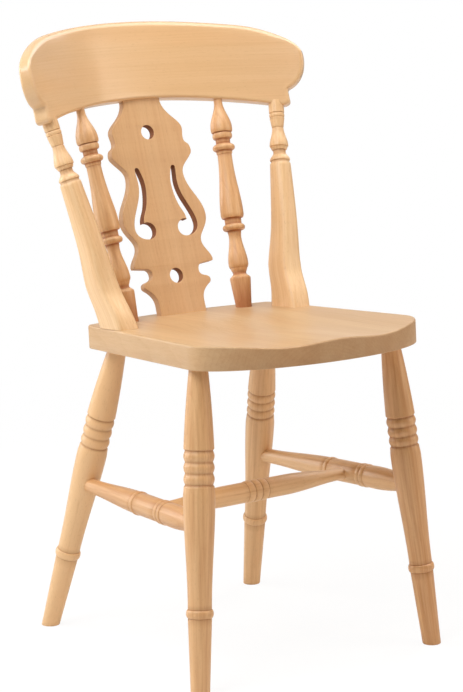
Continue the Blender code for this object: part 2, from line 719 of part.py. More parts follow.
def build_post(chair, seat, crest, side, sign):
    foot = on_seat(sign * POST_SPREAD / 2, POST_Y)
    top_x = sign * POST_TOP_SPREAD / 2
    top = crest_seat(top_x)
    up = seat_normal()
    axis = (top - foot).normalized()
    length = (top - foot).length
    backward = Vector((0, 1, 0))

    def section(distance, width, depth, squareness, setback=0.0):
        """Sections turn from square to the seat at the foot to square to the post."""
        lean = up.lerp(axis, min(distance / (length - POST_SHAFT_START), 1.0)).normalized()
        along = (backward - lean * backward.dot(lean)).normalized()
        across = along.cross(lean)
        return oval(foot + axis * distance + backward * setback, across, along, width, depth, squareness)

    lift = up * FIT
    sideways = Vector((1, 0, 0))
    thick = POST_SEAT_TENON_DIAMETER
    tenon = oval(foot, sideways, up.cross(sideways), thick, thick, ROUND)
    sole = slide_to_plane(section(0, POST_FOOT_WIDTH, POST_FOOT_DEPTH, FOOT_SQUARENESS), axis, foot, up)
    rings = [[p - up * POST_SEAT_TENON for p in tenon], [p + lift for p in tenon], [p + lift for p in sole]]
    shin_depth = (POST_FOOT_DEPTH + POST_KNEE_DEPTH) / 2
    rings.append(section(POST_KNEE / 2, POST_FOOT_WIDTH, shin_depth, FOOT_SQUARENESS, POST_KNEE_SETBACK / 2))
    rings.append(section(POST_KNEE, POST_FOOT_WIDTH, POST_KNEE_DEPTH, FOOT_SQUARENESS, POST_KNEE_SETBACK))
    shaft_end = length - POST_SHAFT_START
    for i in range(1, POST_SHAFT_STEPS + 1):
        t = i / POST_SHAFT_STEPS
        distance = POST_KNEE + (shaft_end - POST_KNEE) * t
        width = POST_FOOT_WIDTH + (POST_SHAFT_DIAMETER - POST_FOOT_WIDTH) * t
        depth = POST_KNEE_DEPTH + (POST_SHAFT_DIAMETER - POST_KNEE_DEPTH) * t
        squareness = FOOT_SQUARENESS + (ROUND - FOOT_SQUARENESS) * math.sqrt(t)
        rings.append(section(distance, width, depth, squareness, POST_KNEE_SETBACK * (1 - t) ** 2))
    for distance, diameter in reversed(post_neck_stations()):
        rings.append(section(length - distance, diameter, diameter, ROUND))
    underside = crest_underside_normal(top_x)
    rest = top - underside * FIT
    drum = section(length, POST_DRUM_DIAMETER, POST_DRUM_DIAMETER, ROUND)
    rings.append(slide_to_plane(drum, axis, rest, underside))
    pin = section(length, POST_CREST_TENON_DIAMETER, POST_CREST_TENON_DIAMETER, ROUND)
    rings.append(slide_to_plane(pin, axis, rest, underside))
    rings.append([p + axis * POST_CREST_TENON for p in pin])

    name = f"{side}_back_post"
    place = Matrix.Translation(foot)
    local = [[p - foot for p in ring] for ring in rings]
    post = add_piece(chair, name, loft(local), place)

    seat_place = Matrix.Translation(foot) @ seat_frame().to_3x3().to_4x4()
    hole = cylinder(-POST_SEAT_TENON - FIT, SEAT_EDGE_ROUND, thick + 2 * FIT, SECTION_POINTS)
    cut(seat, name + "_seat_socket", hole, seat_place)
    hole = cylinder(-POST_DRUM, POST_CREST_TENON + FIT, POST_CREST_TENON_DIAMETER + 2 * FIT, SECTION_POINTS)
    cut(crest, name + "_crest_socket", hole, aim(top, top + axis))
    build_screw(chair, seat, post, side, seat_place)


def build_screw(chair, seat, post, side, seat_place):
    """A screw up through the seat into the foot of a post, its head in a counterbore."""
    head_top = SCREW_SINK - SEAT_THICKNESS
    stations = [(head_top - SCREW_HEAD_HEIGHT, SCREW_HEAD_DIAMETER), (head_top - FIT, SCREW_HEAD_DIAMETER),
                (head_top - FIT, SCREW_DIAMETER), (head_top + SCREW_LENGTH - SCREW_DIAMETER, SCREW_DIAMETER),
                (head_top + SCREW_LENGTH, SCREW_DIAMETER / 4)]
    name = f"{side}_post_screw"
    add_piece(chair, name, loft(turned(stations, SMALL_SIDES)), seat_place, STEEL)
    bore = SCREW_DIAMETER + 2 * FIT
    hole = loft(turned([(-SEAT_THICKNESS - SCREW_SINK, SCREW_COUNTERBORE), (head_top, SCREW_COUNTERBORE),
                        (head_top, bore), (head_top + SCREW_LENGTH + FIT, bore)], SMALL_SIDES))
    cut(seat, name + "_hole", hole, seat_place)
    pilot = cylinder(head_top, head_top + SCREW_LENGTH + FIT, bore, SMALL_SIDES)
    cut(post, name + "_pilot", pilot, seat_place)


def spindle_stations(length):
    """Stations at the drawn length, stretched to the real one, then a tenon at each end."""
    drawn = SPINDLE_DRAWN_LENGTH
    stations = swell(SPINDLE_PLAIN, SPINDLE_BUD, SPINDLE_NECK_DIAMETER, SPINDLE_BUD_DIAMETER)
    stations.append((SPINDLE_BUD_END, SPINDLE_BUD_DIAMETER - QUIRK))
    stations += bead(SPINDLE_BUD_END + QUIRK, SPINDLE_BEAD_WIDTH,
                     SPINDLE_GROOVE_DIAMETER, SPINDLE_BEAD_DIAMETER)
    stations.append((SPINDLE_UPPER_WAIST, SPINDLE_UPPER_WAIST_DIAMETER))
    ring_start = SPINDLE_UPPER_RING - SPINDLE_RING_WIDTH / 2
    stations += bead(ring_start, SPINDLE_RING_WIDTH, SPINDLE_GROOVE_DIAMETER, SPINDLE_RING_DIAMETER)
    stations.append((ring_start + SPINDLE_RING_WIDTH + QUIRK, SPINDLE_COLLAR_DIAMETER))
    stations.append((SPINDLE_COLLAR_END, SPINDLE_COLLAR_DIAMETER))
    stations += swell(SPINDLE_SHAFT_START, drawn - SPINDLE_BELLY,
                      SPINDLE_SHAFT_DIAMETER, SPINDLE_BELLY_DIAMETER)
    stations.append((drawn - SPINDLE_BELLY_END, SPINDLE_BELLY_END_DIAMETER))
    stations.append((drawn - SPINDLE_LOWER_WAIST, SPINDLE_LOWER_WAIST_DIAMETER))
    ring_start = drawn - SPINDLE_LOWER_RING - SPINDLE_RING_WIDTH / 2
    stations += bead(ring_start, SPINDLE_RING_WIDTH, SPINDLE_GROOVE_DIAMETER, SPINDLE_RING_DIAMETER)
    stations.append((ring_start + SPINDLE_RING_WIDTH + QUIRK, SPINDLE_UPPER_WAIST_DIAMETER))
    stations += swell(drawn - SPINDLE_THROAT, drawn - SPINDLE_VASE,
                      SPINDLE_THROAT_DIAMETER, SPINDLE_VASE_DIAMETER, 4)
    stations.append((drawn - SPINDLE_VASE_END, SPINDLE_VASE_DIAMETER - 2 * QUIRK))
    stations.append((drawn - SPINDLE_ANKLE, SPINDLE_ANKLE_DIAMETER))
    stations.append((drawn - SPINDLE_SHOULDER, SPINDLE_SHOULDER_DIAMETER))
    stations.append((drawn - SPINDLE_PLAIN, SPINDLE_FOOT_DIAMETER))
    stretch = length / drawn
    turning = [(distance * stretch, diameter) for distance, diameter in stations]
    top_tenon = (-SPINDLE_TENON, SPINDLE_NECK_DIAMETER)
    foot_tenon = (length + SPINDLE_TENON, SPINDLE_FOOT_DIAMETER)
    return tidy([top_tenon, *turning, foot_tenon])


def build_spindle(chair, seat, crest, side, sign):
    top = crest_seat(sign * SPINDLE_TOP_SPREAD / 2)
    foot = on_seat(sign * SPINDLE_SPREAD / 2, SPINDLE_Y)
    length = (foot - top).length
    place = aim(top, foot)
    name = f"{side}_spindle"
    add_piece(chair, name, loft(turned(spindle_stations(length), SMALL_SIDES)), place)
    hole = cylinder(-SPINDLE_TENON - FIT, SPINDLE_PLAIN, SPINDLE_NECK_DIAMETER + 2 * FIT, SMALL_SIDES)
    cut(crest, name + "_crest_socket", hole, place)
    foot_end = length + SPINDLE_TENON + FIT
    hole = cylinder(length - SPINDLE_PLAIN, foot_end, SPINDLE_FOOT_DIAMETER + 2 * FIT, SMALL_SIDES)
    cut(seat, name + "_seat_socket", hole, place)


def curve(points, steps=CURVE_STEPS):
    """A chain of cubic curves: a start, then two handles and an end for each."""
    run = [Vector(points[0])]
    for i in range(1, len(points), 3):
        a, b, c, d = run[-1], Vector(points[i]), Vector(points[i + 1]), Vector(points[i + 2])
        for k in range(1, steps + 1):
            t = k / steps
            u = 1 - t
            run.append(a * u ** 3 + b * 3 * u * u * t + c * 3 * u * t * t + d * t ** 3)
    return run


def fiddle_edge():
    """Right-hand edge of the splat, from above the seat to below the crest rail."""
    spread = SPLAT_WIDTH / SPLAT_DRAWN_WIDTH
    base, top = SPLAT_BASE_WIDTH / 2 / spread, SPLAT_TOP_WIDTH / 2 / spread
    scroll = [(base, 0.014),
              (base, 0.024), (0.042, 0.029), (0.047, 0.0335),
              (0.0505, 0.0365), (0.055, 0.038), (0.055, 0.042),
              (0.055, 0.0465), (0.051, 0.048), (0.0475, 0.0488),
              (0.041, 0.050), (0.0385, 0.053), (0.0385, 0.057),
              (0.0385, 0.0635), (0.042, 0.0665), (0.048, 0.0665)]
    lower_bout = [(0.0645, 0.0685),
                  (0.0665, 0.071), (0.0645, 0.0755), (0.062, 0.0795),
                  (0.058, 0.086), (0.0513, 0.091), (0.0513, 0.099),
                  (0.0513, 0.110), (0.0675, 0.118), (0.0675, 0.135),
                  (0.0675, 0.157), (0.045, 0.171), (0.045, 0.1965)]
    upper_bout = [(0.045, 0.1965),
                  (0.045, 0.208), (0.055, 0.2122), (0.0638, 0.2232),
                  (0.0668, 0.2272), (0.0662, 0.232), (0.0638, 0.237),
                  (0.0622, 0.240), (0.0572, 0.240), (0.0567, 0.246),
                  (0.0562, 0.252), (0.0582, 0.256), (0.0582, 0.261),
                  (0.0582, 0.270), (0.046, 0.277), (0.040, 0.284),
                  (0.0335, 0.291), (top, 0.298), (top, 0.306)]
    return curve(scroll) + curve(lower_bout) + curve(upper_bout)[1:]


def sound_hole():
    """Comma-shaped hole on the right: a narrow tail above and a round bulb below."""
    inner = [(0.0262, 0.2075),
             (0.0235, 0.197), (0.0212, 0.190), (0.0215, 0.182),
             (0.022, 0.170), (0.0242, 0.160), (0.0278, 0.151),
             (0.0315, 0.143), (0.0352, 0.139), (0.0355, 0.1305)]
    bulb = [(0.0355, 0.1305),
            (0.030, 0.1335), (0.0185, 0.1295), (0.0185, 0.1195),
            (0.0185, 0.112), (0.0245, 0.1075), (0.031, 0.1075),
            (0.043, 0.1075), (0.0518, 0.114), (0.0518, 0.1245)]
    outer = [(0.0518, 0.1245),
             (0.0518, 0.138), (0.040, 0.154), (0.0353, 0.168),
             (0.0325, 0.176), (0.0315, 0.184), (0.032, 0.190),
             (0.0325, 0.197), (0.0333, 0.202), (0.0333, 0.2075),
             (0.0333, 0.2125), (0.0275, 0.2125), (0.0262, 0.2075)]
    return curve(inner)[:-1] + curve(bulb)[:-1] + curve(outer)[:-1]


def build_splat(chair, seat, crest):
    foot = on_seat(0, SPLAT_Y)
    top = crest_seat(0)
    length = (top - foot).length
    up = (top - foot).normalized()
    place = Matrix.Translation(foot) @ Matrix.Rotation(-math.atan2(up.y, up.z), 4, "X")

    spread, stretch = SPLAT_WIDTH / SPLAT_DRAWN_WIDTH, length / SPLAT_DRAWN_LENGTH
    right = [Vector((SPLAT_BASE_WIDTH / 2, -SPLAT_TONGUE))]
    right += [Vector((p.x * spread, p.y * stretch)) for p in fiddle_edge()]
    right.append(Vector((SPLAT_TOP_WIDTH / 2, length + SPLAT_TONGUE)))
    loops = [right + [Vector((-p.x, p.y)) for p in reversed(right)]]
    hole = [Vector((p.x * spread, p.y * stretch)) for p in sound_hole()]
    loops += [hole, [Vector((-p.x, p.y)) for p in hole]]
    round_holes = {SPLAT_UPPER_HOLE: SPLAT_UPPER_HOLE_DIAMETER, SPLAT_LOWER_HOLE: SPLAT_LOWER_HOLE_DIAMETER}
    for height, diameter in round_holes.items():
        loops.append([Vector((p.x, p.y + height * stretch)) for p in circle(diameter / 2, 0, SECTION_POINTS)])

    bm = bmesh.new()
    edges = []
    for loop in loops:
        corners = [bm.verts.new((p.x, -SPLAT_THICKNESS / 2, p.y)) for p in loop]
        edges += [bm.edges.new((corners[i - 1], corners[i])) for i in range(len(corners))]
    bmesh.ops.triangle_fill(bm, use_beauty=True, edges=edges)
    swept = bmesh.ops.extrude_face_region(bm, geom=bm.faces[:])
    moved = [item for item in swept["geom"] if isinstance(item, bmesh.types.BMVert)]
    bmesh.ops.translate(bm, verts=moved, vec=(0, SPLAT_THICKNESS, 0))
    add_piece(chair, "splat", bm, place, BACK_BEECH)

    depth = SPLAT_THICKNESS + 2 * FIT
    mortise = block(SPLAT_BASE_WIDTH + 2 * FIT, depth, -SPLAT_TONGUE - FIT, SPLAT_TONGUE)
    cut(seat, "splat_seat_mortise", mortise, place)
    mortise = block(SPLAT_TOP_WIDTH + 2 * FIT, depth, length - SPLAT_TONGUE, length + SPLAT_TONGUE + FIT)
    cut(crest, "splat_crest_mortise", mortise, place)


def centre_on_floor(chair):
    """Move the whole chair so that its bounding box is centred over the origin."""
    bpy.context.view_layer.update()
    reach = []
    for piece in chair.children:
        if not piece.hide_render:
            reach += [(piece.matrix_world @ vertex.co).y for vertex in piece.data.vertices]
    chair.location.y -= (min(reach) + max(reach)) / 2


def main():
    clear_scene()
    chair = bpy.data.objects.new("chair", None)
    bpy.context.scene.collection.objects.link(chair)
    seat = build_seat(chair)
    build_base(chair, seat)
    crest = build_crest(chair)
    for side, sign in SIDES.items():
        build_post(chair, seat, crest, side, sign)
        build_spindle(chair, seat, crest, side, sign)
    build_splat(chair, seat, crest)
    centre_on_floor(chair)


main()
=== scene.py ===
import bmesh
import bpy
import numpy as np
from mathutils import Matrix, geometry


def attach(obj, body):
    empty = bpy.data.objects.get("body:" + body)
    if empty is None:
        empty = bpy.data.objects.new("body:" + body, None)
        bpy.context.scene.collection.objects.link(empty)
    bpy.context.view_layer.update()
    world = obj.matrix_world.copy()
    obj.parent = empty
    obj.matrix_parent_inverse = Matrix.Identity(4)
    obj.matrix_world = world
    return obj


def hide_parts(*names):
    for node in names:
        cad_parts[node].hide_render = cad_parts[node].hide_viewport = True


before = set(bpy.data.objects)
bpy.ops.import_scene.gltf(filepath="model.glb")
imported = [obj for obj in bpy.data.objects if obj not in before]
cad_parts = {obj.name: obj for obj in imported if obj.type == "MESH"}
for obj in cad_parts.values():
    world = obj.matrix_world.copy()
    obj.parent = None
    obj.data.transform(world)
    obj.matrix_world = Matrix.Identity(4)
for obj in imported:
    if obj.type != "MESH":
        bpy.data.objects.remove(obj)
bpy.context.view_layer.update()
print("frame loaded, nodes:", len(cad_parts))

# Places that the pieces share, in metres, the same as in the CAD
chair = dict(
    shift=-0.0123610,      # along Y, puts the middle of the chair over the origin
    seatHeight=0.415,      # underside of the seat at the middle
    seatSlope=0.0429,      # fall to the rear for each metre
    seatThick=0.0325,
    crestRadius=0.290,     # crest rail's front face in plan
    crestRoundHalf=0.150,  # half the width that is truly round
    crestEnd=0.2223,       # half the width of the rail
    crestEndsBack=0.0081,  # the tips stand this far behind the round
    crestY=0.2195,
    crestUnder=0.7385,
    crestThick=0.0221,     # at the underside
    crestLean=0.354,
    crestArch=0.0191,
    crestBlock=0.1983,
    sink=0.006,            # how far a visible end runs into its neighbour
)
sides = dict(left=-1.0, right=1.0)
mirror = np.array([-1.0, 1.0])    # turns a flat outline's right half into its left half
luck = np.random.default_rng(41)  # only for where each piece was cut from its log
join = np.concatenate


# Small tools for arrays

def stack(*columns):
    # numbers or arrays side by side in a new last axis
    return np.stack(np.broadcast_arrays(*columns), -1)


def ease(t):
    # smooth step from 0 to 1: 3t^2 - 2t^3
    t = np.clip(t, 0.0, 1.0)
    return t * t * (3 - 2 * t)


def between(first, last, t):
    # straight mix: the first at 0, the last at 1
    return first + (last - first) * t


def unit(v):
    return v / np.linalg.norm(v, axis=-1, keepdims=True)


def far(start, end):
    return np.linalg.norm(end - start)


def fullTurn(count):
    # even angles all the way round
    return np.linspace(0, 2 * np.pi, count, endpoint=False)


def quarterTurn(count):
    return np.linspace(0, np.pi / 2, count)


def onSeat(x, y, z):
    # seat coordinates turned about X by the slope: x across, y back, z up from the underside
    tilt = np.arctan(chair["seatSlope"])
    yTurned = y * np.cos(tilt) + z * np.sin(tilt)
    zTurned = z * np.cos(tilt) - y * np.sin(tilt)
    return stack(x, yTurned + chair["shift"], zTurned + chair["seatHeight"])


def onCrest(x, height, depth):
    # front face: a circle in plan with straighter ends, leaning back as it rises; depth is square to it
    c = chair
    run = c["crestEnd"] - c["crestRoundHalf"]
    past = np.maximum(np.abs(x) - c["crestRoundHalf"], 0.0) / run
    bow = np.sqrt(c["crestRadius"] ** 2 - x ** 2)
    lean = c["crestLean"] * (height - c["crestUnder"])
    y = c["crestY"] - c["crestRadius"] + bow + c["crestEndsBack"] * past ** 2 + lean + c["shift"]
    slope = np.sign(x) * 2 * c["crestEndsBack"] * past / run - x / bow
    inward = unit(stack(-slope, 1.0, -c["crestLean"]))
    return stack(x, y, height) + inward * np.asarray(depth)[..., None]


def crestUnderside(x):
    # a parabola that falls from mid span to the blocks
    return chair["crestUnder"] - chair["crestArch"] * (x / chair["crestBlock"]) ** 2


def underCrest(x):
    # where a member's axis meets the underside, half way through the rail
    return onCrest(x, crestUnderside(x), chair["crestThick"] / 2)


def axisFrame(start, end):
    # three unit rows: across, through, along
    along = unit(end - start)
    across = unit(np.cross([0.0, 1.0, 0.0], along))
    return across, np.cross(along, across), along


def evenSteps(line, count, closed=False):
    # the same line in even steps along its length
    run = join([[0], np.cumsum(np.linalg.norm(np.diff(line, axis=0), axis=1))])
    at = np.linspace(0, run[-1], count, endpoint=not closed)
    return stack(np.interp(at, run, line[:, 0]), np.interp(at, run, line[:, 1]))


def fromLog():
    # a place in the log: some way out from the pith, anywhere along
    turn, out, along = luck.uniform([0, 0.045, 0], [2 * np.pi, 0.110, 6])
    return np.array([out * np.cos(turn), out * np.sin(turn), along])


# Meshes
weldGap, sliverGap = 2e-6, 1e-6  # metres


def grid(points, wood, sawnAndShade=0.0, rub=0.0):
    # quads of a rows x columns grid whose last column joins the first
    rows, columns = points.shape[:2]
    index = np.arange(rows * columns).reshape(rows, columns)
    across = np.roll(index, -1, axis=1)
    quads = stack(index[:-1], across[:-1], across[1:], index[1:])
    marks = [np.broadcast_to(mark, (rows, columns)).ravel() for mark in (sawnAndShade, rub)]
    return {"points": points.reshape(-1, 3), "wood": wood.reshape(-1, 3),
            "faces": quads.reshape(-1, 4).tolist(), "sawnAndShade": marks[0], "rub": marks[1]}


def filled(flatLoops, points, wood):
    # triangles between an outer loop and the holes in it
    faces = geometry.tessellate_polygon([[(*p, 0.0) for p in loop] for loop in flatLoops])
    faces, none = [list(face) for face in faces], np.zeros(len(points))
    return {"points": points, "wood": wood, "faces": faces, "sawnAndShade": none, "rub": none}


def addObject(name, data):
    made = bpy.data.objects.new(name, data)
    bpy.context.scene.collection.objects.link(made)
    return made


def makePiece(node, parts, finish, sharp=38):
    # parts share one mesh; doubled points are merged, which closes seams and poles
    mesh = bpy.data.meshes.new("shaped_" + node)
    starts = np.cumsum([0] + [len(part["points"]) for part in parts])
    faces = [[i + start for i in face] for part, start in zip(parts, starts) for face in part["faces"]]
    mesh.from_pydata(join([part["points"] for part in parts]).tolist(), [], faces)
    marks = {key: join([part[key].ravel() for part in parts]) for key in ("wood", "sawnAndShade", "rub")}
    marks["tone"] = np.full(starts[-1], toneAndPaintedLight.get(node, 0.0))
    for key, values in marks.items():
        kind, field = ("FLOAT_VECTOR", "vector") if key == "wood" else ("FLOAT", "value")
        mesh.attributes.new(key, kind, "POINT").data.foreach_set(field, values)
    bm = bmesh.new()
    bm.from_mesh(mesh)
    bmesh.ops.remove_doubles(bm, verts=bm.verts[:], dist=weldGap)
    bmesh.ops.dissolve_degenerate(bm, edges=bm.edges[:], dist=sliverGap)
    bmesh.ops.recalc_face_normals(bm, faces=bm.faces[:])
    bm.to_mesh(mesh)
    bm.free()
    mesh.shade_smooth()
    mesh.set_sharp_from_angle(angle=np.radians(sharp))
    mesh.materials.append(finish)
    piece = addObject("shaped_" + node, mesh)
    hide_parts(node)
    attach(piece, "root")


# Finishes
noiseSpan = 0.28, 0.72  # most of the noise lies between these


def feed(tree, made, inputs):
    # links for sockets, plain values for the rest
    for key, value in inputs.items():
        if isinstance(value, bpy.types.NodeSocket):
            tree.links.new(value, made.inputs[key])
        else:
            made.inputs[key].default_value = value


def addNode(tree, kind, inputs=None, settings=None):
    made = tree.nodes.new("ShaderNode" + kind)
    for key, value in (settings or {}).items():
        setattr(made, key, value)
    feed(tree, made, inputs or {})
    return made


def newFinish(name):
    finish = bpy.data.materials.new(name)
    finish.use_nodes = True
    return finish, finish.node_tree, finish.node_tree.nodes["Principled BSDF"]


def attribute(tree, name, socket="Fac"):
    return addNode(tree, "Attribute", settings={"attribute_name": name}).outputs[socket]


def mathNode(tree, operation, first, second=0.0, clamp=False):
    settings = {"operation": operation, "use_clamp": clamp}
    return addNode(tree, "Math", {0: first, 1: second}, settings).outputs[0]


def times(tree, first, second):
    return mathNode(tree, "MULTIPLY", first, second)


def vectorNode(tree, operation, first, second=(0.0, 0.0, 0.0), socket="Vector"):
    return addNode(tree, "VectorMath", {0: first, 1: second}, {"operation": operation}).outputs[socket]


def mapRange(tree, value, low, high, first=0.0, last=1.0, shape="LINEAR"):
    # low to high becomes first to last, and stops there
    span = {"Value": value, "From Min": low, "From Max": high, "To Min": first, "To Max": last}
    return addNode(tree, "MapRange", span, {"interpolation_type": shape}).outputs[0]


def mixColour(tree, share, first, second, blend="MIX"):
    ends = [end if isinstance(end, bpy.types.NodeSocket) else (*end, 1.0) for end in (first, second)]
    inputs = {0: share, 6: ends[0], 7: ends[1]}
    return addNode(tree, "Mix", inputs, {"data_type": "RGBA", "blend_type": blend}).outputs[2]


def noise(tree, place, scale, detail, rough=0.5):
    # noise from about -1 to 1, drawn out along the grain by a small third scale
    place = vectorNode(tree, "MULTIPLY", place, scale)
    inputs = {"Vector": place, "Scale": 1.0, "Detail": detail, "Roughness": rough}
    return mapRange(tree, addNode(tree, "TexNoise", inputs).outputs[0], *noiseSpan, -1.0, 1.0)


def beechFinish(name, look):
    # growth rings round a far pith, tone bands, fibres and short dark flecks, all along the grain
    finish, tree, shader = newFinish(name)
    place = attribute(tree, "wood", "Vector")
    sawnAndShade, rub, tone = [attribute(tree, key) for key in ("sawnAndShade", "rub", "tone")]

    if "stave" in look:
        # glued-up boards: each stave takes its own place in the log
        split = addNode(tree, "SeparateXYZ", {0: place})
        board = mathNode(tree, "FLOOR", mathNode(tree, "DIVIDE", split.outputs[0], look["stave"]))
        jumps = {i: times(tree, board, jump) for i, jump in enumerate(look["staveJump"])}
        place = vectorNode(tree, "ADD", place, addNode(tree, "CombineXYZ", jumps).outputs[0])
    turned = {"Vector": place, "Angle": look["logTurn"]}  # keeps the pattern off the faces
    place = addNode(tree, "VectorRotate", turned).outputs[0]

    figure = {key: noise(tree, place, *values) for key, values in look["noises"].items()}
    radial = vectorNode(tree, "LENGTH", vectorNode(tree, "MULTIPLY", place, (1.0, 1.0, 0.0)), socket="Value")
    radial = mathNode(tree, "ADD", radial, times(tree, figure["warp"], look["warp"]))
    ring = mathNode(tree, "FRACT", mathNode(tree, "DIVIDE", radial, look["ringGap"]))
    figure["rings"] = mathNode(tree, "POWER", ring, look["ringPower"])
    blush = mathNode(tree, "ADD", figure["blush"], 0.5, clamp=True)
    flecks = mapRange(tree, figure["dashes"], *look["dashSpan"])

    for key in ("bands", "rings", "streaks", "fibres", "cloud"):
        tone = mathNode(tree, "ADD", tone, times(tree, figure[key], look[key]))
    tone = mathNode(tree, "ADD", tone, look["lean"], clamp=True)
    colour = mixColour(tree, tone, look["pale"], look["deep"])
    # the third layer darkens end grain and sawn walls, and also paints shade into grooves, round the
    # spindles' feet, inside the splat's holes and onto the seat's front edge
    layers = [(blush, "blushShare", "blush", "MULTIPLY"), (flecks, "flecks", "fleck", "MIX"),
              (sawnAndShade, "sawnAndShadeShare", "endGrainAndShade", "MULTIPLY"), (rub, "rubbed", "pale", "MIX")]
    for where, share, tint, blend in layers:
        colour = mixColour(tree, times(tree, where, look[share]), colour, look[tint], blend)

    smooth, coarse = look["rough"]
    shine = mapRange(tree, mathNode(tree, "ADD", figure["fibres"], sawnAndShade), -1.0, 2.0, smooth, coarse)
    dull = times(tree, sawnAndShade, look["sawnDull"])  # sawn wood is not polished, and the places of painted shade get this roughness too
    height = mathNode(tree, "SUBTRACT", times(tree, figure["fibres"], look["fibreHigh"]), flecks)
    strength, distance = look["bump"]
    bump = addNode(tree, "Bump", {"Strength": strength, "Distance": distance, "Height": height})
    feed(tree, shader, {
        "Base Color": colour, "Roughness": mathNode(tree, "ADD", shine, dull), "Normal": bump.outputs[0],
        "Coat Weight": look["coat"], "Coat Roughness": look["coatRough"]})
    return finish


beech = dict(
    pale=(0.740, 0.465, 0.230), deep=(0.500, 0.230, 0.078), fleck=(0.330, 0.150, 0.055),
    blush=(1.0, 0.93, 0.86), endGrainAndShade=(0.56, 0.44, 0.36), ringGap=0.0042, ringPower=2.6, warp=0.007,
    rings=0.16, bands=0.18, streaks=0.30, fibres=0.10, cloud=0.12, flecks=0.16, lean=0.36, blushShare=0.5,
    sawnAndShadeShare=0.9, rubbed=0.30, sawnDull=0.40, rough=(0.42, 0.58), coat=0.25, coatRough=0.30, fibreHigh=0.5,
    bump=(0.16, 0.0003), dashSpan=(0.55, 0.95), logTurn=0.65, staveJump=(0.0137, 0.031, 1.73),
    noises=dict(  # scales across, through and along the grain, detail, roughness
        warp=((11.0, 11.0, 2.2), 3.0), bands=((46.0, 46.0, 1.3), 4.0, 0.55),
        streaks=((170.0, 170.0, 2.2), 3.0, 0.6), fibres=((560.0, 560.0, 10.0), 3.0, 0.6),
        cloud=((6.5, 6.5, 2.0), 2.0), blush=((21.0, 21.0, 3.1), 2.0), dashes=((820.0, 820.0, 170.0), 1.0),
    ),
)
ownLooks = dict(  # what differs from piece to piece
    seat=dict(stave=0.072, streaks=0.14, pale=(0.615, 0.405, 0.213), deep=(0.470, 0.262, 0.107)),
    leg=dict(),
    # spindles: their darker tint paints shade into the grooves and onto the foot
    spindle=dict(pale=(0.780, 0.495, 0.245), deep=(0.530, 0.240, 0.085), endGrainAndShade=(0.60, 0.41, 0.33),
                 sawnAndShadeShare=1.0),
    post=dict(streaks=0.20, pale=(0.840, 0.590, 0.330), deep=(0.620, 0.325, 0.125)),
    crest=dict(rings=0.10, streaks=0.08, bands=0.13, cloud=0.20, flecks=0.10, blush=(1.0, 0.91, 0.82),
               pale=(0.775, 0.508, 0.266), deep=(0.630, 0.360, 0.157), coat=0.8, coatRough=0.20),
    # splat: the very dark tint is for its walls, sawn end grain deepened by painted shade
    splat=dict(streaks=0.14, bands=0.14, pale=(0.690, 0.435, 0.220), deep=(0.550, 0.300, 0.128),
               endGrainAndShade=(0.32, 0.165, 0.083), sawnAndShadeShare=1.0, coat=0.05),
)
finishes = {key: beechFinish(key + "Beech", {**beech, **own}) for key, own in ownLooks.items()}
# painted light and shade: the front-right leg is darker as in the seat's shadow; the rear-left leg and the
# cross stretcher are paler where light falls on them
toneAndPaintedLight = dict(  # how much darker or paler each piece is: its own timber, and painted light and shade
    front_right_leg=0.20, rear_left_leg=-0.50, rear_right_leg=-0.18, cross_stretcher=-0.36,
    left_side_stretcher=0.20, right_side_stretcher=-0.22, right_back_post=-0.10,
)
print("finishes made:", ", ".join(finishes))


# Turnings: each run is an array of (distance, diameter) rows

def taper(start, end, first, last, steps=10):
    # straight change of diameter
    t = np.linspace(0, 1, steps + 1)
    return stack(between(start, end, t), between(first, last, t))


def swell(start, end, first, last, steps=18, late=1.0):
    # S-shaped change of diameter, by the smooth step; a higher power comes later
    t = np.linspace(0, 1, steps + 1)
    return stack(between(start, end, t), between(first, last, ease(t ** late)))


def bulge(start, end, first, middle, last, steps=18):
    # straight change plus a parabola that is highest half way
    t = np.linspace(0, 1, steps + 1)
    extra = (middle - (first + last) / 2) * 4 * t * (1 - t)
    return stack(between(start, end, t), between(first, last, t) + extra)


def bead(start, width, core, crown, steps=14):
    # half round on a core: distance by cosine, diameter by sine
    angle = np.linspace(0, np.pi, steps + 1)
    return stack(start + width * (1 - np.cos(angle)) / 2, between(core, crown, np.sin(angle)))


def ripple(start, width, count, core, crown, steps=16, draw=1.15):
    # soft beads in a row: diameter by the sine's size, drawn out a little in the grooves
    t = np.linspace(0, count, count * steps + 1)
    return stack(start + width * t, between(core, crown, np.abs(np.sin(np.pi * t)) ** draw))


def point(distance, diameter):
    return np.array([[distance, diameter]])


def grooves(stations, reach=0.0045, full=0.0026):
    # how far each place lies below the average diameter round about, as a share of a full groove
    gap = (stations[:, :1] - stations[:, 0]) / reach
    fine = np.gradient(stations[:, 0])
    weight = np.exp(-gap ** 2) * np.abs(fine)
    around = (weight @ stations[:, 1]) / weight.sum(1)
    return np.clip((around - stations[:, 1]) / full, 0, 1)


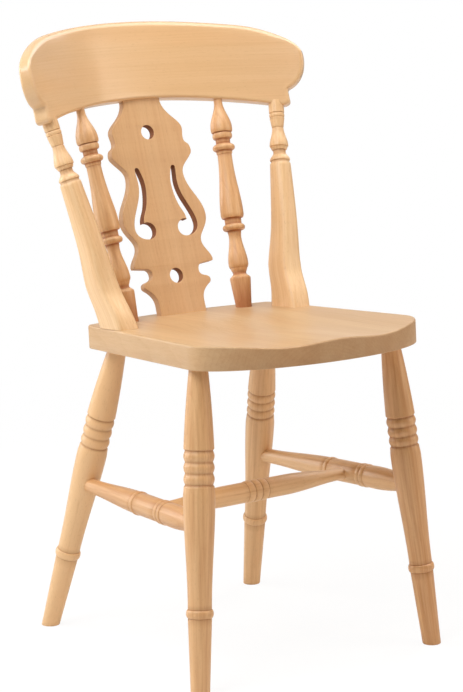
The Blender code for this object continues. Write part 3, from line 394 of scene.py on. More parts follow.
def turnedPiece(node, stations, start, end, finish, around=48, level=0.0, paintedShadeReach=0.0):
    # circles of the stations' diameters along the axis; level: arris of a far end cut flat with the floor;
    # paintedShadeReach: length at the far end that is darkened as painted shade
    across, through, along = axisFrame(start, end)
    angle = fullTurn(around)
    rim = np.cos(angle)[:, None] * across + np.sin(angle)[:, None] * through
    distance = np.repeat(stations[:, :1], around, axis=1)
    radius = np.repeat(stations[:, 1:] / 2, around, axis=1)
    if level:
        reach = -(start[2] + radius[-3:] * rim[:, 2]) / along[2]  # each line of the skin to the floor
        distance[-3:] = reach - np.array([level, level * 0.3, 0.0])[:, None]
    distance = join([distance[:1], distance, distance[-1:].mean(keepdims=True).repeat(around, 1)])
    radius = join([radius[:1] * 0, radius, radius[-1:] * 0])
    points = start + distance[..., None] * along + radius[..., None] * rim
    wood = stack(radius * np.cos(angle), radius * np.sin(angle), distance) + fromLog()
    # painted shade and darker build-up: the turning is darkened in its grooves, more where they lie deeper
    mark = grooves(stations)
    # painted shade: the spindle darkens towards its foot, where it stands in shade on the seat
    if paintedShadeReach:
        mark = np.maximum(mark, ease(1 + (stations[:, 0] - stations[-1, 0]) / paintedShadeReach))
    mark = join([[1.0], mark, [1.0]])[:, None]
    makePiece(node, [grid(points, wood, sawnAndShade=mark)], finishes[finish])


leg = dict(
    top=0.0256, middle=0.0342, swellWide=0.0397, collar=0.006, beadCount=3, beadOut=0.0402, groove=0.0362,
    shaft=0.0416, shaftAt=0.014, low=0.0312, ringAt=0.3095, ringWide=0.0110, ringOut=0.0358, ringCore=0.0306,
    ankle=0.0312, foot=0.0250, footUpper=0.0260, footUpperAt=0.02, quirk=0.0012, arris=0.0012, around=56,
    frontTop=(0.1543, -0.1409), frontFoot=(0.1901, -0.1791),
    rearTop=(0.1228, 0.1078), rearFoot=(0.1742, 0.2321),
    beads=dict(  # start and width, each turned by eye
        front_left=(0.1062, 0.0147), front_right=(0.1056, 0.0131),
        rear_left=(0.1040, 0.0145), rear_right=(0.1018, 0.0128)),
)


def legEnds(place, sign):
    topX, topY = leg[place + "Top"]
    footX, footY = leg[place + "Foot"]
    return onSeat(sign * topX, topY, 0.0), np.array([sign * footX, footY + chair["shift"], 0.0])


def legStations(length, beadsAt, beadWide):
    # a swelling upper part, beads, a tapering shaft, a ring, and a slim foot whose rim is eased
    g, q = leg, leg["quirk"]
    beadsEnd = beadsAt + g["beadCount"] * beadWide
    fullest = beadsEnd + g["shaftAt"]
    return join([
        point(-chair["sink"], g["top"]),
        bulge(g["collar"], beadsAt - 2 * q, g["top"], g["middle"], g["swellWide"]),
        ripple(beadsAt, beadWide, g["beadCount"], g["groove"], g["beadOut"]),
        swell(beadsEnd + 2 * q, fullest, g["swellWide"], g["shaft"], 8),
        swell(fullest, g["ringAt"], g["shaft"], g["low"], 24)[1:],
        bead(g["ringAt"] + q, g["ringWide"], g["ringCore"], g["ringOut"]),
        taper(g["ringAt"] + g["ringWide"] + 2 * q, length - g["footUpperAt"], g["ankle"], g["footUpper"], 8),
        *[point(length, g["foot"] - share * g["arris"]) for share in (0.0, 0.6, 2.0)]])


for side, sign in sides.items():
    for place in ("front", "rear"):
        top, foot = legEnds(place, sign)
        stations = legStations(far(top, foot), *leg["beads"][f"{place}_{side}"])
        turnedPiece(f"{place}_{side}_leg", stations, top, foot, "leg", leg["around"], level=leg["arris"])
print("legs turned")


sideStretcher = dict(
    frontDrop=dict(left=0.2020, right=0.2002), rearDrop=0.2073, rearWide=0.0203, frontWide=0.0262,
    swellWide=0.0306, frontSwell=0.0312, ringOut=0.0328, ringCore=0.0298, ringWide=0.0082, rearRing=0.1610,
    frontRings=0.2290, quirk=0.0006, plain=0.026,
)
crossStretcher = dict(
    fromRear=0.2030, leftDrop=0.0025, endWide=0.0166, swellWide=0.0282, ringOut=0.0306, ringCore=0.0268,
    ringWide=0.0110, ringCount=3, quirk=0.0008, swellAt=0.052, blend=0.004, plain=0.018,
)


def sideStations(length):
    # rear to front: a long swell, one ring, a plain run under the cross stretcher, two rings, a short taper
    s, q, full = sideStretcher, sideStretcher["quirk"], sideStretcher["swellWide"]
    rings = [s["rearRing"], s["frontRings"], s["frontRings"] + s["ringWide"]]
    rear, *front = [bead(at, s["ringWide"], s["ringCore"], s["ringOut"]) for at in rings]
    return join([
        point(chair["sink"], s["rearWide"]),
        swell(s["plain"], rings[0] - q, s["rearWide"], full), rear,
        taper(rings[0] + s["ringWide"] + q, rings[1] - q, full, full, 4), *front,
        bulge(rings[2] + s["ringWide"] + q, length - s["plain"], full, s["frontSwell"], s["frontWide"]),
        point(length - chair["sink"], s["frontWide"])])


def crossStations(length):
    # one half out from an end, three rings, then the same half turned round
    c, full, middle = crossStretcher, crossStretcher["swellWide"], length / 2
    ringsStart = middle - c["ringCount"] / 2 * c["ringWide"]
    half = join([
        point(chair["sink"], c["endWide"]),
        swell(c["plain"], middle - c["swellAt"], c["endWide"], full),
        taper(middle - c["swellAt"] + c["blend"], ringsStart - c["quirk"], full, full, 4)])
    starts = [ringsStart + i * c["ringWide"] for i in range(c["ringCount"])]
    rings = [bead(at, c["ringWide"], c["ringCore"], c["ringOut"]) for at in starts]
    return join([half, *rings, stack(length - half[::-1, 0], half[::-1, 1])])


crossEnds = []
for side, sign in sides.items():
    frontTop, frontFoot = legEnds("front", sign)
    rearTop, rearFoot = legEnds("rear", sign)
    rear = rearTop + unit(rearFoot - rearTop) * sideStretcher["rearDrop"]
    front = frontTop + unit(frontFoot - frontTop) * sideStretcher["frontDrop"][side]
    turnedPiece(f"{side}_side_stretcher", sideStations(far(rear, front)), rear, front, "leg")
    crossEnds.append(rear + unit(front - rear) * crossStretcher["fromRear"])
crossEnds[0][2] -= crossStretcher["leftDrop"]
turnedPiece("cross_stretcher", crossStations(far(*crossEnds)), *crossEnds, "leg")
print("stretchers turned")


# Spindles: upper forms are measured down from the crest rail, lower ones up from the seat
spindle = dict(
    spread=0.189, y=0.1168, topSpread=0.2204, topForward=0.0025, topRight=0.0014, neck=0.0120, foot=0.0230,
    # the last value here is the length at the spindle's foot that is darkened as painted shade
    plain=0.004, ringOut=0.0318, ringWide=0.0084, groove=0.0250, paintedShadeReach=0.060,
    budAt=0.0400, bud=(0.0402, 0.0472, 0.0308, 0.0310, 0.0296),  # two distances, then diameters
    beadAt=0.0483, beadWide=0.0085, beadOut=0.0282, quirk=0.0002, ringQuirk=0.0004,
    underBead=(0.0572, 0.0222), upperWaist=(0.0580, 0.0640, 0.0208, 0.0206), upperRing=0.0657,
    underRing=(0.0746, 0.0232), collar=(0.0752, 0.0786, 0.0228, 0.0224),
    shaft=(0.0796, 0.1360, 0.0205, 0.0328), late=1.2, belly=(0.1355, 0.1278, 0.0328, 0.0327, 0.0304),
    underBelly=(0.1270, 0.0250), lowerWaist=(0.1264, 0.1196, 0.0238, 0.0236), lowerRing=0.1180,
    overThroat=(0.1091, 0.0206), throat=(0.1083, 0.1010, 0.0194, 0.0176),
    vase=(0.1005, 0.0630, 0.0176, 0.0282), vaseEnd=(0.0625, 0.0560, 0.0282, 0.0280, 0.0258),
    ankle=(0.0552, 0.0480, 0.0240, 0.0188), shoulder=(0.0475, 0.0405, 0.0188, 0.0296),
    footCone=(0.0395, 0.004, 0.0296, 0.0230),
)


def spindleStations(length):
    s, groove = spindle, spindle["groove"]

    def ring(at):
        return join([point(at - s["ringQuirk"], groove), bead(at, s["ringWide"], groove, s["ringOut"])])

    def low(form, key, *more):
        start, end, *wide = s[key]
        return form(length - start, length - end, *wide, *more)

    def lowPoint(key):
        return point(length - s[key][0], s[key][1])

    return join([
        point(-chair["sink"], s["neck"]),
        swell(s["plain"], s["budAt"], s["neck"], s["bud"][2]), bulge(*s["bud"], 6),
        point(s["beadAt"] - s["quirk"], groove), bead(s["beadAt"], s["beadWide"], groove, s["beadOut"]),
        point(*s["underBead"]), taper(*s["upperWaist"], 4), ring(s["upperRing"]),
        point(*s["underRing"]), taper(*s["collar"], 2),
        swell(s["shaft"][0], length - s["shaft"][1], *s["shaft"][2:], 30, s["late"]),
        low(bulge, "belly", 8), lowPoint("underBelly"), low(taper, "lowerWaist", 4),
        ring(length - s["lowerRing"]), lowPoint("overThroat"), low(swell, "throat", 8),
        low(swell, "vase"), low(bulge, "vaseEnd", 6), low(swell, "ankle", 6), low(swell, "shoulder", 8),
        low(taper, "footCone", 12), point(length + chair["sink"], s["foot"])])


for side, sign in sides.items():
    top = underCrest(sign * spindle["topSpread"] / 2) + [spindle["topRight"], -spindle["topForward"], 0.0]
    foot = onSeat(sign * spindle["spread"] / 2, spindle["y"], chair["seatThick"])
    stations = spindleStations(far(top, foot))
    turnedPiece(f"{side}_spindle", stations, top, foot, "spindle", paintedShadeReach=spindle["paintedShadeReach"])
print("spindles turned")


# Back posts: rounded rectangles at the foot that turn round under the neck
post = dict(
    spread=0.284, y=0.0695, topSpread=0.361, topForward=0.0020, footWide=0.0325, footDeep=0.0585, square=5.6,
    knee=0.060, kneeDeep=0.0440, kneePower=0.8, setback=0.0076, humpPower=6, slims=0.40, shaft=0.0294,
    shaftStart=0.0868, drumTop=0.001, drum=0.0120, drumOut=0.0218, drumQuirk=0.0006, beadWide=0.0060,
    beadOut=0.0217, groove=0.0194, barrelEnd=0.0332, barrel=0.0210, barrelLow=0.0168, cupEnd=0.0602,
    cupNeck=0.0166, cupOut=0.0268, cupLip=0.0264, rimEnd=0.0662, rim=0.0244, rimLow=0.0210, neckAt=0.0702,
    neck=0.0180, flareAt=0.0706, flareEnd=0.0806, flareOut=0.0286, quirk=0.0012, around=72, kneeSteps=14,
    shaftSteps=40,
)


def neckStations():
    # measured down from the crest rail: drum, bead, barrel, cup, rim, neck, flare
    p, q = post, post["quirk"]
    beadEnd = p["drum"] + q + p["beadWide"]
    return join([
        point(-chair["sink"], p["drumOut"]),
        taper(p["drumTop"], p["drum"] - p["drumQuirk"], p["drumOut"], p["drumOut"], 3),
        bead(p["drum"] + 0.5 * q, p["beadWide"], p["groove"], p["beadOut"]),
        taper(beadEnd + 0.4 * q, p["barrelEnd"], p["barrel"], p["barrelLow"], 8),
        point(p["barrelEnd"] + 0.6 * q, p["cupNeck"] - q),
        swell(p["barrelEnd"] + 1.4 * q, p["cupEnd"], p["cupNeck"], p["cupOut"]),
        point(p["cupEnd"] + 0.8 * q, p["cupLip"]), point(p["cupEnd"] + 1.4 * q, p["rim"] - q),
        taper(p["cupEnd"] + 2 * q, p["rimEnd"], p["rim"], p["rimLow"], 3),
        point(p["rimEnd"] + 0.6 * q, p["neck"]),
        taper(p["rimEnd"] + q, p["neckAt"], p["neck"], p["neck"], 3),
        swell(p["flareAt"], p["flareEnd"], p["neck"], p["flareOut"], 14),
        point(p["flareEnd"] + q, p["flareOut"]), point(p["flareEnd"] + 2 * q, p["flareOut"] - 2 * q),
        point(p["shaftStart"] - 1.6 * q, p["shaft"] - 2.4 * q)])


def shapedPost(side, sign):
    # superellipses along a leaning axis: square at the foot, set back in a hump at the knee, then round
    p, around = post, post["around"]
    foot = onSeat(sign * p["spread"] / 2, p["y"], chair["seatThick"])
    top = underCrest(sign * p["topSpread"] / 2) - [0.0, p["topForward"], 0.0]
    length = far(foot, top)
    axis = unit(top - foot)
    up = onSeat(0.0, 0.0, 1.0) - onSeat(0.0, 0.0, 0.0)
    shaftEnd = length - p["shaftStart"]
    low = np.linspace(0, p["knee"], p["kneeSteps"])
    t = np.linspace(0, 1, p["shaftSteps"])[1:]
    neckAt, neckWide = neckStations()[::-1].T
    kneeRise = ease(low / p["knee"]) ** p["kneePower"]
    distance = join([low, between(p["knee"], shaftEnd, t), length - neckAt])
    slim = between(p["footWide"], p["shaft"], ease(t / p["slims"]))
    wide = join([np.full_like(low, p["footWide"]), slim, neckWide])
    deep = join([between(p["footDeep"], p["kneeDeep"], kneeRise),
                 between(p["kneeDeep"], p["shaft"], t), neckWide])
    square = join([np.full_like(low, p["square"]), between(p["square"], 2, np.sqrt(t)),
                   np.full_like(neckWide, 2)])
    share = distance / p["knee"]
    back = p["setback"] * (share * np.exp(1 - share)) ** p["humpPower"]

    # sections turn from square to the seat at the foot to square to the post
    lean = unit(between(up, axis, np.clip(distance / shaftEnd, 0, 1)[:, None]))
    rear = np.array([0.0, 1.0, 0.0])
    through = unit(rear - lean * (lean @ rear)[:, None])
    across = np.cross(through, lean)
    c, s = np.cos(fullTurn(around)), np.sin(fullTurn(around))
    x = np.sign(c) * np.abs(c) ** (2 / square[:, None]) * wide[:, None] / 2
    y = np.sign(s) * np.abs(s) ** (2 / square[:, None]) * deep[:, None] / 2
    centre = foot + distance[:, None] * axis + back[:, None] * rear
    points = centre[:, None] + x[..., None] * across[:, None] + y[..., None] * through[:, None]
    points[:1] -= up * ((points[:1] - foot) @ up)[..., None]  # the foot sits flat on the seat
    wood = stack(x, y, distance[:, None])
    ends = [points[at].mean(1, keepdims=True).repeat(around, 1) for at in (slice(0, 1), slice(-1, None))]
    points = join([ends[0], points, ends[1]])
    wood = join([wood[:1], wood, wood[-1:]]) + fromLog()
    # painted shade and darker build-up: the post's neck is darkened in its grooves
    mark = join([[0.0], grooves(stack(distance, wide)), [0.0]])[:, None]
    makePiece(f"{side}_back_post", [grid(points, wood, sawnAndShade=mark)], finishes["post"])


for side, sign in sides.items():
    shapedPost(side, sign)
print("back posts shaped")


# Crest rail: a lower and an upper line on the curved face, with the edges between them rounded over
crestRail = dict(
    topThick=0.0138, top=0.8463, topRadius=1.156, endHeight=0.7925, upperRound=0.0710, shoulder=2.2,
    lowerRound=0.0321, lowerDrop=0.0506, corner=0.0095, fillet=0.0030, edge=0.0040, topEdge=0.0090,
    edgeFade=0.030, columns=260, rows=14, edgeSteps=9,
    steps=dict(top=600, under=300, corner=30, lobe=120, fillet=16),  # before they are evened out
)


def crestTopLine():
    # a shallow arc that runs into a quarter superellipse at the tip
    r, end = crestRail, chair["crestEnd"]
    x = end * np.sin(quarterTurn(r["steps"]["top"]))
    crown = r["top"] - r["topRadius"] + np.sqrt(r["topRadius"] ** 2 - x ** 2)
    past = np.clip((x - (end - r["upperRound"])) / r["upperRound"], 0, 1)
    share = (1 - past ** r["shoulder"]) ** (1 / r["shoulder"])
    return evenSteps(stack(x, between(r["endHeight"], crown, share)), r["columns"])


def crestBottomLine():
    # arched underside, round block corner, upright side, small fillet, then a quarter ellipse up to the tip
    r, end, block, steps = crestRail, chair["crestEnd"], chair["crestBlock"], crestRail["steps"]
    middle = end - r["lowerRound"]
    x = np.linspace(0, block - r["corner"], steps["under"])
    under = stack(x, crestUnderside(x))
    turn = quarterTurn(steps["corner"])
    x = block - r["corner"] * (1 - np.sin(turn))
    corner = stack(x, crestUnderside(x) + r["corner"] * (1 - np.cos(turn)))
    lobeStart = np.arcsin((block + r["fillet"] - middle) / r["lowerRound"])
    turn = np.linspace(lobeStart, np.pi / 2, steps["lobe"])
    lobe = stack(middle + r["lowerRound"] * np.sin(turn), r["endHeight"] - r["lowerDrop"] * np.cos(turn))
    notch = r["endHeight"] - r["lowerDrop"] * np.sqrt(1 - ((block - middle) / r["lowerRound"]) ** 2)
    t = np.linspace(0, 1, steps["fillet"])[:, None]
    low, bend = np.array([block, notch - r["fillet"]]), np.array([block, notch])
    fillet = low * (1 - t) ** 2 + 2 * bend * t * (1 - t) + lobe[0] * t ** 2
    return evenSteps(join([under, corner[1:], fillet, lobe[1:]]), r["columns"])


def bothHalves(right):
    # the mirror image on the left, then the right half
    return join([right[:0:-1] * mirror, right])


def shapedCrest():
    # rings round the rail: lower edge, back, upper edge, front
    r = crestRail
    lines, outs = [], []
    for line, sense in ((crestBottomLine(), 1.0), (crestTopLine(), -1.0)):
        along = np.gradient(line, axis=0)
        along[0] = 1.0, 0.0
        outward = sense * unit(stack(along[:, 1], -along[:, 0]))
        outward[-1] = 1.0, 0.0  # both lines meet at the tip
        lines.append(bothHalves(line))
        outs.append(bothHalves(outward))
    turn = quarterTurn(r["edgeSteps"])

    def rounded(line, outward, frontRound):
        # quarter rounds at the front and the back: in from the line and through the rail, which thins upward
        share = np.clip((line[:, 1:] - chair["crestUnder"]) / (r["top"] - chair["crestUnder"]), 0, 1)
        thick = between(chair["crestThick"], r["topThick"], share)
        backRound = np.full_like(thick, r["edge"])
        inset = join([frontRound * (1 - np.sin(turn)), backRound * (1 - np.sin(turn[::-1]))], 1)
        depth = join([frontRound * (1 - np.cos(turn)), thick - backRound * (1 - np.cos(turn[::-1]))], 1)
        return line[:, None] - outward[:, None] * inset[..., None], depth

    tipNear = ease((chair["crestEnd"] - np.abs(lines[1][:, :1])) / r["edgeFade"])
    under, underDepth = rounded(lines[0], outs[0], np.full_like(tipNear, r["edge"]))
    over, overDepth = rounded(lines[1], outs[1], between(r["edge"], r["topEdge"], tipNear))
    over, overDepth = over[:, ::-1], overDepth[:, ::-1]
    share = np.linspace(0, 1, r["rows"])[1:-1]
    backFace = between(under[:, -1:], over[:, :1], share[:, None])
    backDepth = between(underDepth[:, -1:], overDepth[:, :1], share)
    frontFace = between(over[:, -1:], under[:, :1], share[:, None])
    flat = join([under, backFace, over, frontFace], 1)
    through = join([underDepth, backDepth, overDepth, np.zeros_like(backDepth)], 1)
    points = onCrest(flat[..., 0], flat[..., 1], through)
    wood = stack(through, flat[..., 1], flat[..., 0]) + fromLog()
    edges, faces = np.ones(2 * len(turn)), np.zeros(len(share))
    part = grid(points, wood, rub=join([edges, faces, edges, faces])[None])
    makePiece("crest_rail", [part], finishes["crest"], sharp=50)


shapedCrest()
print("crest rail shaped")


# Splat: the fiddle outline and its holes, each with a rounded edge, filled front and back
splat = dict(
    y=0.1320, front=0.0055, thick=0.0122, baseWide=0.075, topWide=0.060, drawnLength=0.3066, edge=0.0008,
    # the two shares after edgeRub darken the walls: sawn end grain, with painted shade inside the holes
    edgeSteps=6, edgeRub=0.4, outerSawnAndShade=0.30, holeSawnAndShade=1.0, steps=12,
    holes=((0.2588, 0.0204), (0.0530, 0.0210)), holeSteps=64,  # height and width
    scroll=[
        (37.5, 14),
        (37.5, 24), (42, 29), (47, 33.5),
        (50.5, 36.5), (55, 38), (55, 42),
        (55, 46.5), (51, 48), (47.5, 48.8),
        (41, 50), (38.5, 53), (38.5, 57),
        (38.5, 63.5), (42, 66.5), (48, 66.5)],
    bouts=[
        (64.5, 68.5),
        (66.5, 71), (64.5, 75.5), (62, 79.5),
        (58, 86), (52.4, 91), (52.4, 99),
        (52.4, 110), (68.7, 118), (68.7, 135),
        (68.7, 158), (45.5, 173), (45, 196.5),
        (45, 208), (55, 212.2), (63.8, 223.2),
        (66.8, 227.2), (66.2, 232), (63.8, 237),
        (62.2, 240), (57.2, 240), (56.7, 246),
        (56.2, 252), (58.2, 256), (58.2, 261),
        (58.2, 270), (46, 277), (40, 284),
        (33.5, 291), (30, 298), (30, 306)],
    soundHole=[
        (26.2, 205.5),
        (23.5, 197), (21.2, 190), (21.5, 182),
        (22, 170), (24.2, 160), (27.8, 151),
        (31.5, 143), (35.2, 139), (35.5, 130.5),
        (30, 133.5), (18.5, 129.5), (18.5, 119.5),
        (18.5, 112), (24.5, 107.5), (31, 107.5),
        (43, 107.5), (51.8, 114), (51.8, 124.5),
        (51.8, 138), (40, 154), (35.3, 168),
        (32.5, 176), (31.5, 184), (32, 190),
        (32.5, 197), (33.3, 201), (33.3, 205.5),
        (33.3, 210.5), (27.5, 210.5), (26.2, 205.5)],
)


def cubicChain(controls):
    # a start, then two handles and an end for each cubic curve
    controls = np.array(controls) / 1000  # drawn in millimetres
    t = np.linspace(0, 1, splat["steps"] + 1)[1:, None]
    weights = [(1 - t) ** 3, 3 * t * (1 - t) ** 2, 3 * t ** 2 * (1 - t), t ** 3]
    runs = [controls[:1]]
    for i in range(0, len(controls) - 1, 3):
        runs.append(sum(weight * handle for weight, handle in zip(weights, controls[i:i + 4])))
    return join(runs)


def turnsLeft(loop):
    # signed area is positive when the loop runs anticlockwise
    following = np.roll(loop, -1, 0)
    return np.sum(loop[:, 0] * following[:, 1] - following[:, 0] * loop[:, 1]) > 0


def loopOutward(loop):
    # unit vectors to the right of the way along a closed loop
    along = np.roll(loop, -1, 0) - np.roll(loop, 1, 0)
    return unit(stack(along[:, 1], -along[:, 0]))


def edgeBand(loop):
    # rows of a rounded edge carried round a loop: in from the outline and through the board
    turn = quarterTurn(splat["edgeSteps"])
    inset = splat["edge"] * (1 - np.sin(turn))
    depth = splat["edge"] * (1 - np.cos(turn))
    flat = loop - loopOutward(loop) * join([inset, inset[::-1]])[:, None, None]
    through = np.repeat(join([depth, splat["thick"] - depth[::-1]])[:, None], len(loop), 1)
    return flat, through


def shapedSplat():
    # flat loops, stretched to the real length, stand on the seat and lean back to the crest rail
    foot = onSeat(0.0, splat["y"], chair["seatThick"])
    top = underCrest(0.0)
    length = far(foot, top)
    up = unit(top - foot)
    across = np.array([1.0, 0.0, 0.0])
    rearward = -np.cross(across, up)
    stretch = np.array([1.0, length / splat["drawnLength"]])
    base, crown = splat["baseWide"] / 2, splat["topWide"] / 2
    right = join([[(base, -chair["sink"] / 2)], cubicChain(splat["scroll"]) * stretch,
                  cubicChain(splat["bouts"]) * stretch, [(crown, length + chair["sink"])]])
    hole = cubicChain(splat["soundHole"])[:-1] * stretch
    loops = [join([right, (right * mirror)[::-1]]), hole, hole * mirror]
    angle = fullTurn(splat["holeSteps"])
    for height, wide in splat["holes"]:
        loops.append(stack(wide / 2 * np.cos(angle), height * stretch[1] + wide / 2 * np.sin(angle)))
    loops = [loop if turnsLeft(loop) == (i == 0) else loop[::-1] for i, loop in enumerate(loops)]
    log = fromLog()

    def placedInLog(flat, through):
        points = foot + flat[..., :1] * across + flat[..., 1:] * up
        points = points + (through[..., None] - splat["front"]) * rearward
        return points, stack(flat[..., 0], through, flat[..., 1]) + log

    parts, fronts, backs = [], [], []
    for i, loop in enumerate(loops):
        flat, through = edgeBand(loop)
        # painted shade and sawn end grain: the walls round the outline and inside the holes are darkened
        wall = np.clip(np.minimum(through, splat["thick"] - through) / splat["edge"] * 3 - 1, 0, 1)
        shade = splat["holeSawnAndShade"] if i else splat["outerSawnAndShade"]
        parts.append(grid(*placedInLog(flat, through), sawnAndShade=shade * wall, rub=splat["edgeRub"] * (1 - wall)))
        fronts.append(flat[0])
        backs.append(flat[-1])
    for flats, depth in ((fronts, 0.0), (backs, splat["thick"])):
        flat = join(flats)
        parts.append(filled(flats, *placedInLog(flat, np.full(len(flat), depth))))
    makePiece("splat", parts, finishes["splat"])


shapedSplat()
print("splat pierced")


# Seat: half-ellipse front, straight sides, round rear corners and a bowed rear; saddled on top
seat = dict(
    wide=0.353, widestY=-0.152, frontBow=0.0928, rearWide=0.305, rearY=0.1405, rearBow=0.018, corner=0.010,
    topRound=0.0028, lowArris=0.0012, hollow=0.0085, hollowSpread=0.150, hollowRearSpread=0.090,
    hollowWide=0.060, hollowRearY=0.048, hollowFullY=-0.060, lip=0.88, around=320, rings=44, edgeSteps=9,
    endShade=0.55, log=(0.036, 0.085, 1.4),
    steps=dict(front=160, side=60, corner=16, rear=60),  # before they are evened out
)
screw = dict(
    head=0.0095, headHigh=0.0035, sink=0.0080, bore=0.0110, boreSteps=40, slotWide=0.0011, slotDeep=0.0014,
    slotReach=0.5, slotFade=0.16, dome=0.0009, clear=0.0003, postX=0.142, postY=0.073, rings=26, around=72,
    bright=(0.56, 0.56, 0.57), worn=(0.40, 0.40, 0.42), wornShare=0.3, wornScale=900.0, rough=(0.26, 0.44),
)


def seatOutline():
    # ellipse for the front, lines for the sides, quarter circles for the corners, a parabola for the rear
    s, steps = seat, seat["steps"]
    half, rear = s["wide"] / 2, s["rearWide"] / 2
    angle = np.linspace(0, np.pi, steps["front"])
    frontEdge = stack(-half * np.cos(angle), s["widestY"] - s["frontBow"] * np.sin(angle))
    cornerX, cornerY = rear - s["corner"], s["rearY"] - s["corner"]
    t = np.linspace(0, 1, steps["side"])[1:-1]
    sideEdge = stack(between(half, rear, t), between(s["widestY"], cornerY, t))
    angle = quarterTurn(steps["corner"])
    corner = stack(cornerX + s["corner"] * np.cos(angle), cornerY + s["corner"] * np.sin(angle))
    x = np.linspace(cornerX, -cornerX, steps["rear"])[1:-1]
    rearEdge = stack(x, s["rearY"] + s["rearBow"] * (1 - (x / cornerX) ** 2))
    left = [(edge * mirror)[::-1] for edge in (corner, sideEdge)]
    outline = join([frontEdge, sideEdge, corner, rearEdge, *left, frontEdge[:1]])
    return evenSteps(outline, s["around"], closed=True)


def saddle(x, y):
    # depth of the saddling: two round troughs that run into one bowl at the rear
    s = seat
    frontY = s["widestY"] - s["frontBow"]
    ahead = ease((s["hollowRearY"] - y) / (s["hollowRearY"] - s["hollowFullY"]))
    lip = 1 - (1 - s["lip"]) * ease((s["hollowFullY"] - y) / (s["hollowFullY"] - frontY))
    apart = between(s["hollowRearSpread"], s["hollowSpread"], ease(y / frontY))
    troughs = sum(np.exp(-((x - sign * apart / 2) / s["hollowWide"]) ** 2) for sign in sides.values())
    return s["hollow"] * ahead * lip * np.minimum(troughs, 1.0)


def shapedSeat():
    # rings out from the middle over the saddled top, round its edge and down the sides
    s, arris = seat, seat["lowArris"]
    outline = seatOutline()
    outward = loopOutward(outline)
    centre = np.array([0.0, (s["widestY"] + s["rearY"]) / 2])
    turn = quarterTurn(s["edgeSteps"])
    shares = np.linspace(0, 1, s["rings"])[:-1, None, None]
    rim = outline - outward * s["topRound"]
    topFlat = between(centre, rim, shares)
    roundFlat = outline - outward * (s["topRound"] * (1 - np.sin(turn)))[:, None, None]
    lowFlat = outline - outward * (arris * np.array([0, 0, 0.3, 1.0]))[:, None, None]
    drop = join([np.zeros(len(shares)), s["topRound"] * (1 - np.cos(turn))])
    flat = join([topFlat, roundFlat])
    z = chair["seatThick"] - saddle(flat[..., 0], flat[..., 1]) - drop[:, None]
    sideZ = [0.5 * (z[-1] + arris), *(np.full_like(z[-1], share * arris) for share in (1.0, 0.3, 0.0))]
    flat = join([flat, lowFlat])
    z = join([z, sideZ])
    skirt = join([np.zeros(len(shares)), np.sin(turn), np.ones(len(lowFlat))])
    # front and rear edges are darkened: partly the staves' end grain, partly painted shade on the front edge
    endGrainAndShade = outward[:, 1] ** 2 * skirt[:, None]

    def placedInLog(x, y, z):
        return onSeat(x, y, z), stack(x, z, y) + np.array(s["log"])

    parts = [grid(*placedInLog(flat[..., 0], flat[..., 1], z), sawnAndShade=s["endShade"] * endGrainAndShade)]

    # underside with the counterbores for the post screws
    angle = -fullTurn(screw["boreSteps"])
    loops = [flat[-1]]
    for sign in sides.values():
        ring = stack(sign * screw["postX"] + screw["bore"] / 2 * np.cos(angle),
                     screw["postY"] + screw["bore"] / 2 * np.sin(angle))
        loops.append(ring)
        cup = np.stack([ring, ring, np.broadcast_to(ring.mean(0), ring.shape)])
        cupZ = np.array([0.0, screw["sink"], screw["sink"]])[:, None] + np.zeros(len(angle))
        parts.append(grid(*placedInLog(cup[..., 0], cup[..., 1], cupZ), sawnAndShade=1.0))
    under = join(loops)
    parts.append(filled(loops, *placedInLog(under[:, 0], under[:, 1], np.zeros(len(under)))))
    makePiece("seat", parts, finishes["seat"], sharp=50)


shapedSeat()
print("seat saddled")


# Screw heads, seen only from below: a low dome with a cross recess
def steelFinish():
    finish, tree, shader = newFinish("screwSteel")
    place = addNode(tree, "TexCoord").outputs["Object"]
    worn = noise(tree, place, (screw["wornScale"],) * 3, 3.0)
    colour = mixColour(tree, times(tree, worn, screw["wornShare"]), screw["bright"], screw["worn"])
    rough = mapRange(tree, worn, -1.0, 1.0, *screw["rough"])
    feed(tree, shader, {"Base Color": colour, "Roughness": rough, "Metallic": 1.0})
    return finish


def screwHead(side, sign, finish):
    # polar grid: z falls as a dome, and a cross of two soft slots is pressed into it
    full, edge = screw["head"] / 2, screw["slotWide"] / 2
    radius = full * join([np.linspace(0, 1, screw["rings"]), [1.0, 0.0]])[:, None]
    angle = fullTurn(screw["around"])
    x, y = radius * np.cos(angle), radius * np.sin(angle)
    reach = 1 - ease((np.hypot(x, y) / full - screw["slotReach"]) / screw["slotFade"])
    slots = np.maximum(1 - ease((np.abs(x) - edge) / edge), 1 - ease((np.abs(y) - edge) / edge))
    dome = screw["dome"] * (1 - (radius / radius.max()) ** 2)
    low = screw["sink"] - screw["headHigh"] + screw["dome"]
    z = low - dome + screw["slotDeep"] * slots * reach
    z[-2:] = screw["sink"] - screw["clear"]
    points = onSeat(sign * screw["postX"] + x, screw["postY"] + y, z)
    makePiece(f"{side}_post_screw", [grid(points, stack(x, y, z))], finish, sharp=50)


steel = steelFinish()
for side, sign in sides.items():
    screwHead(side, sign, steel)
print("screw heads set")


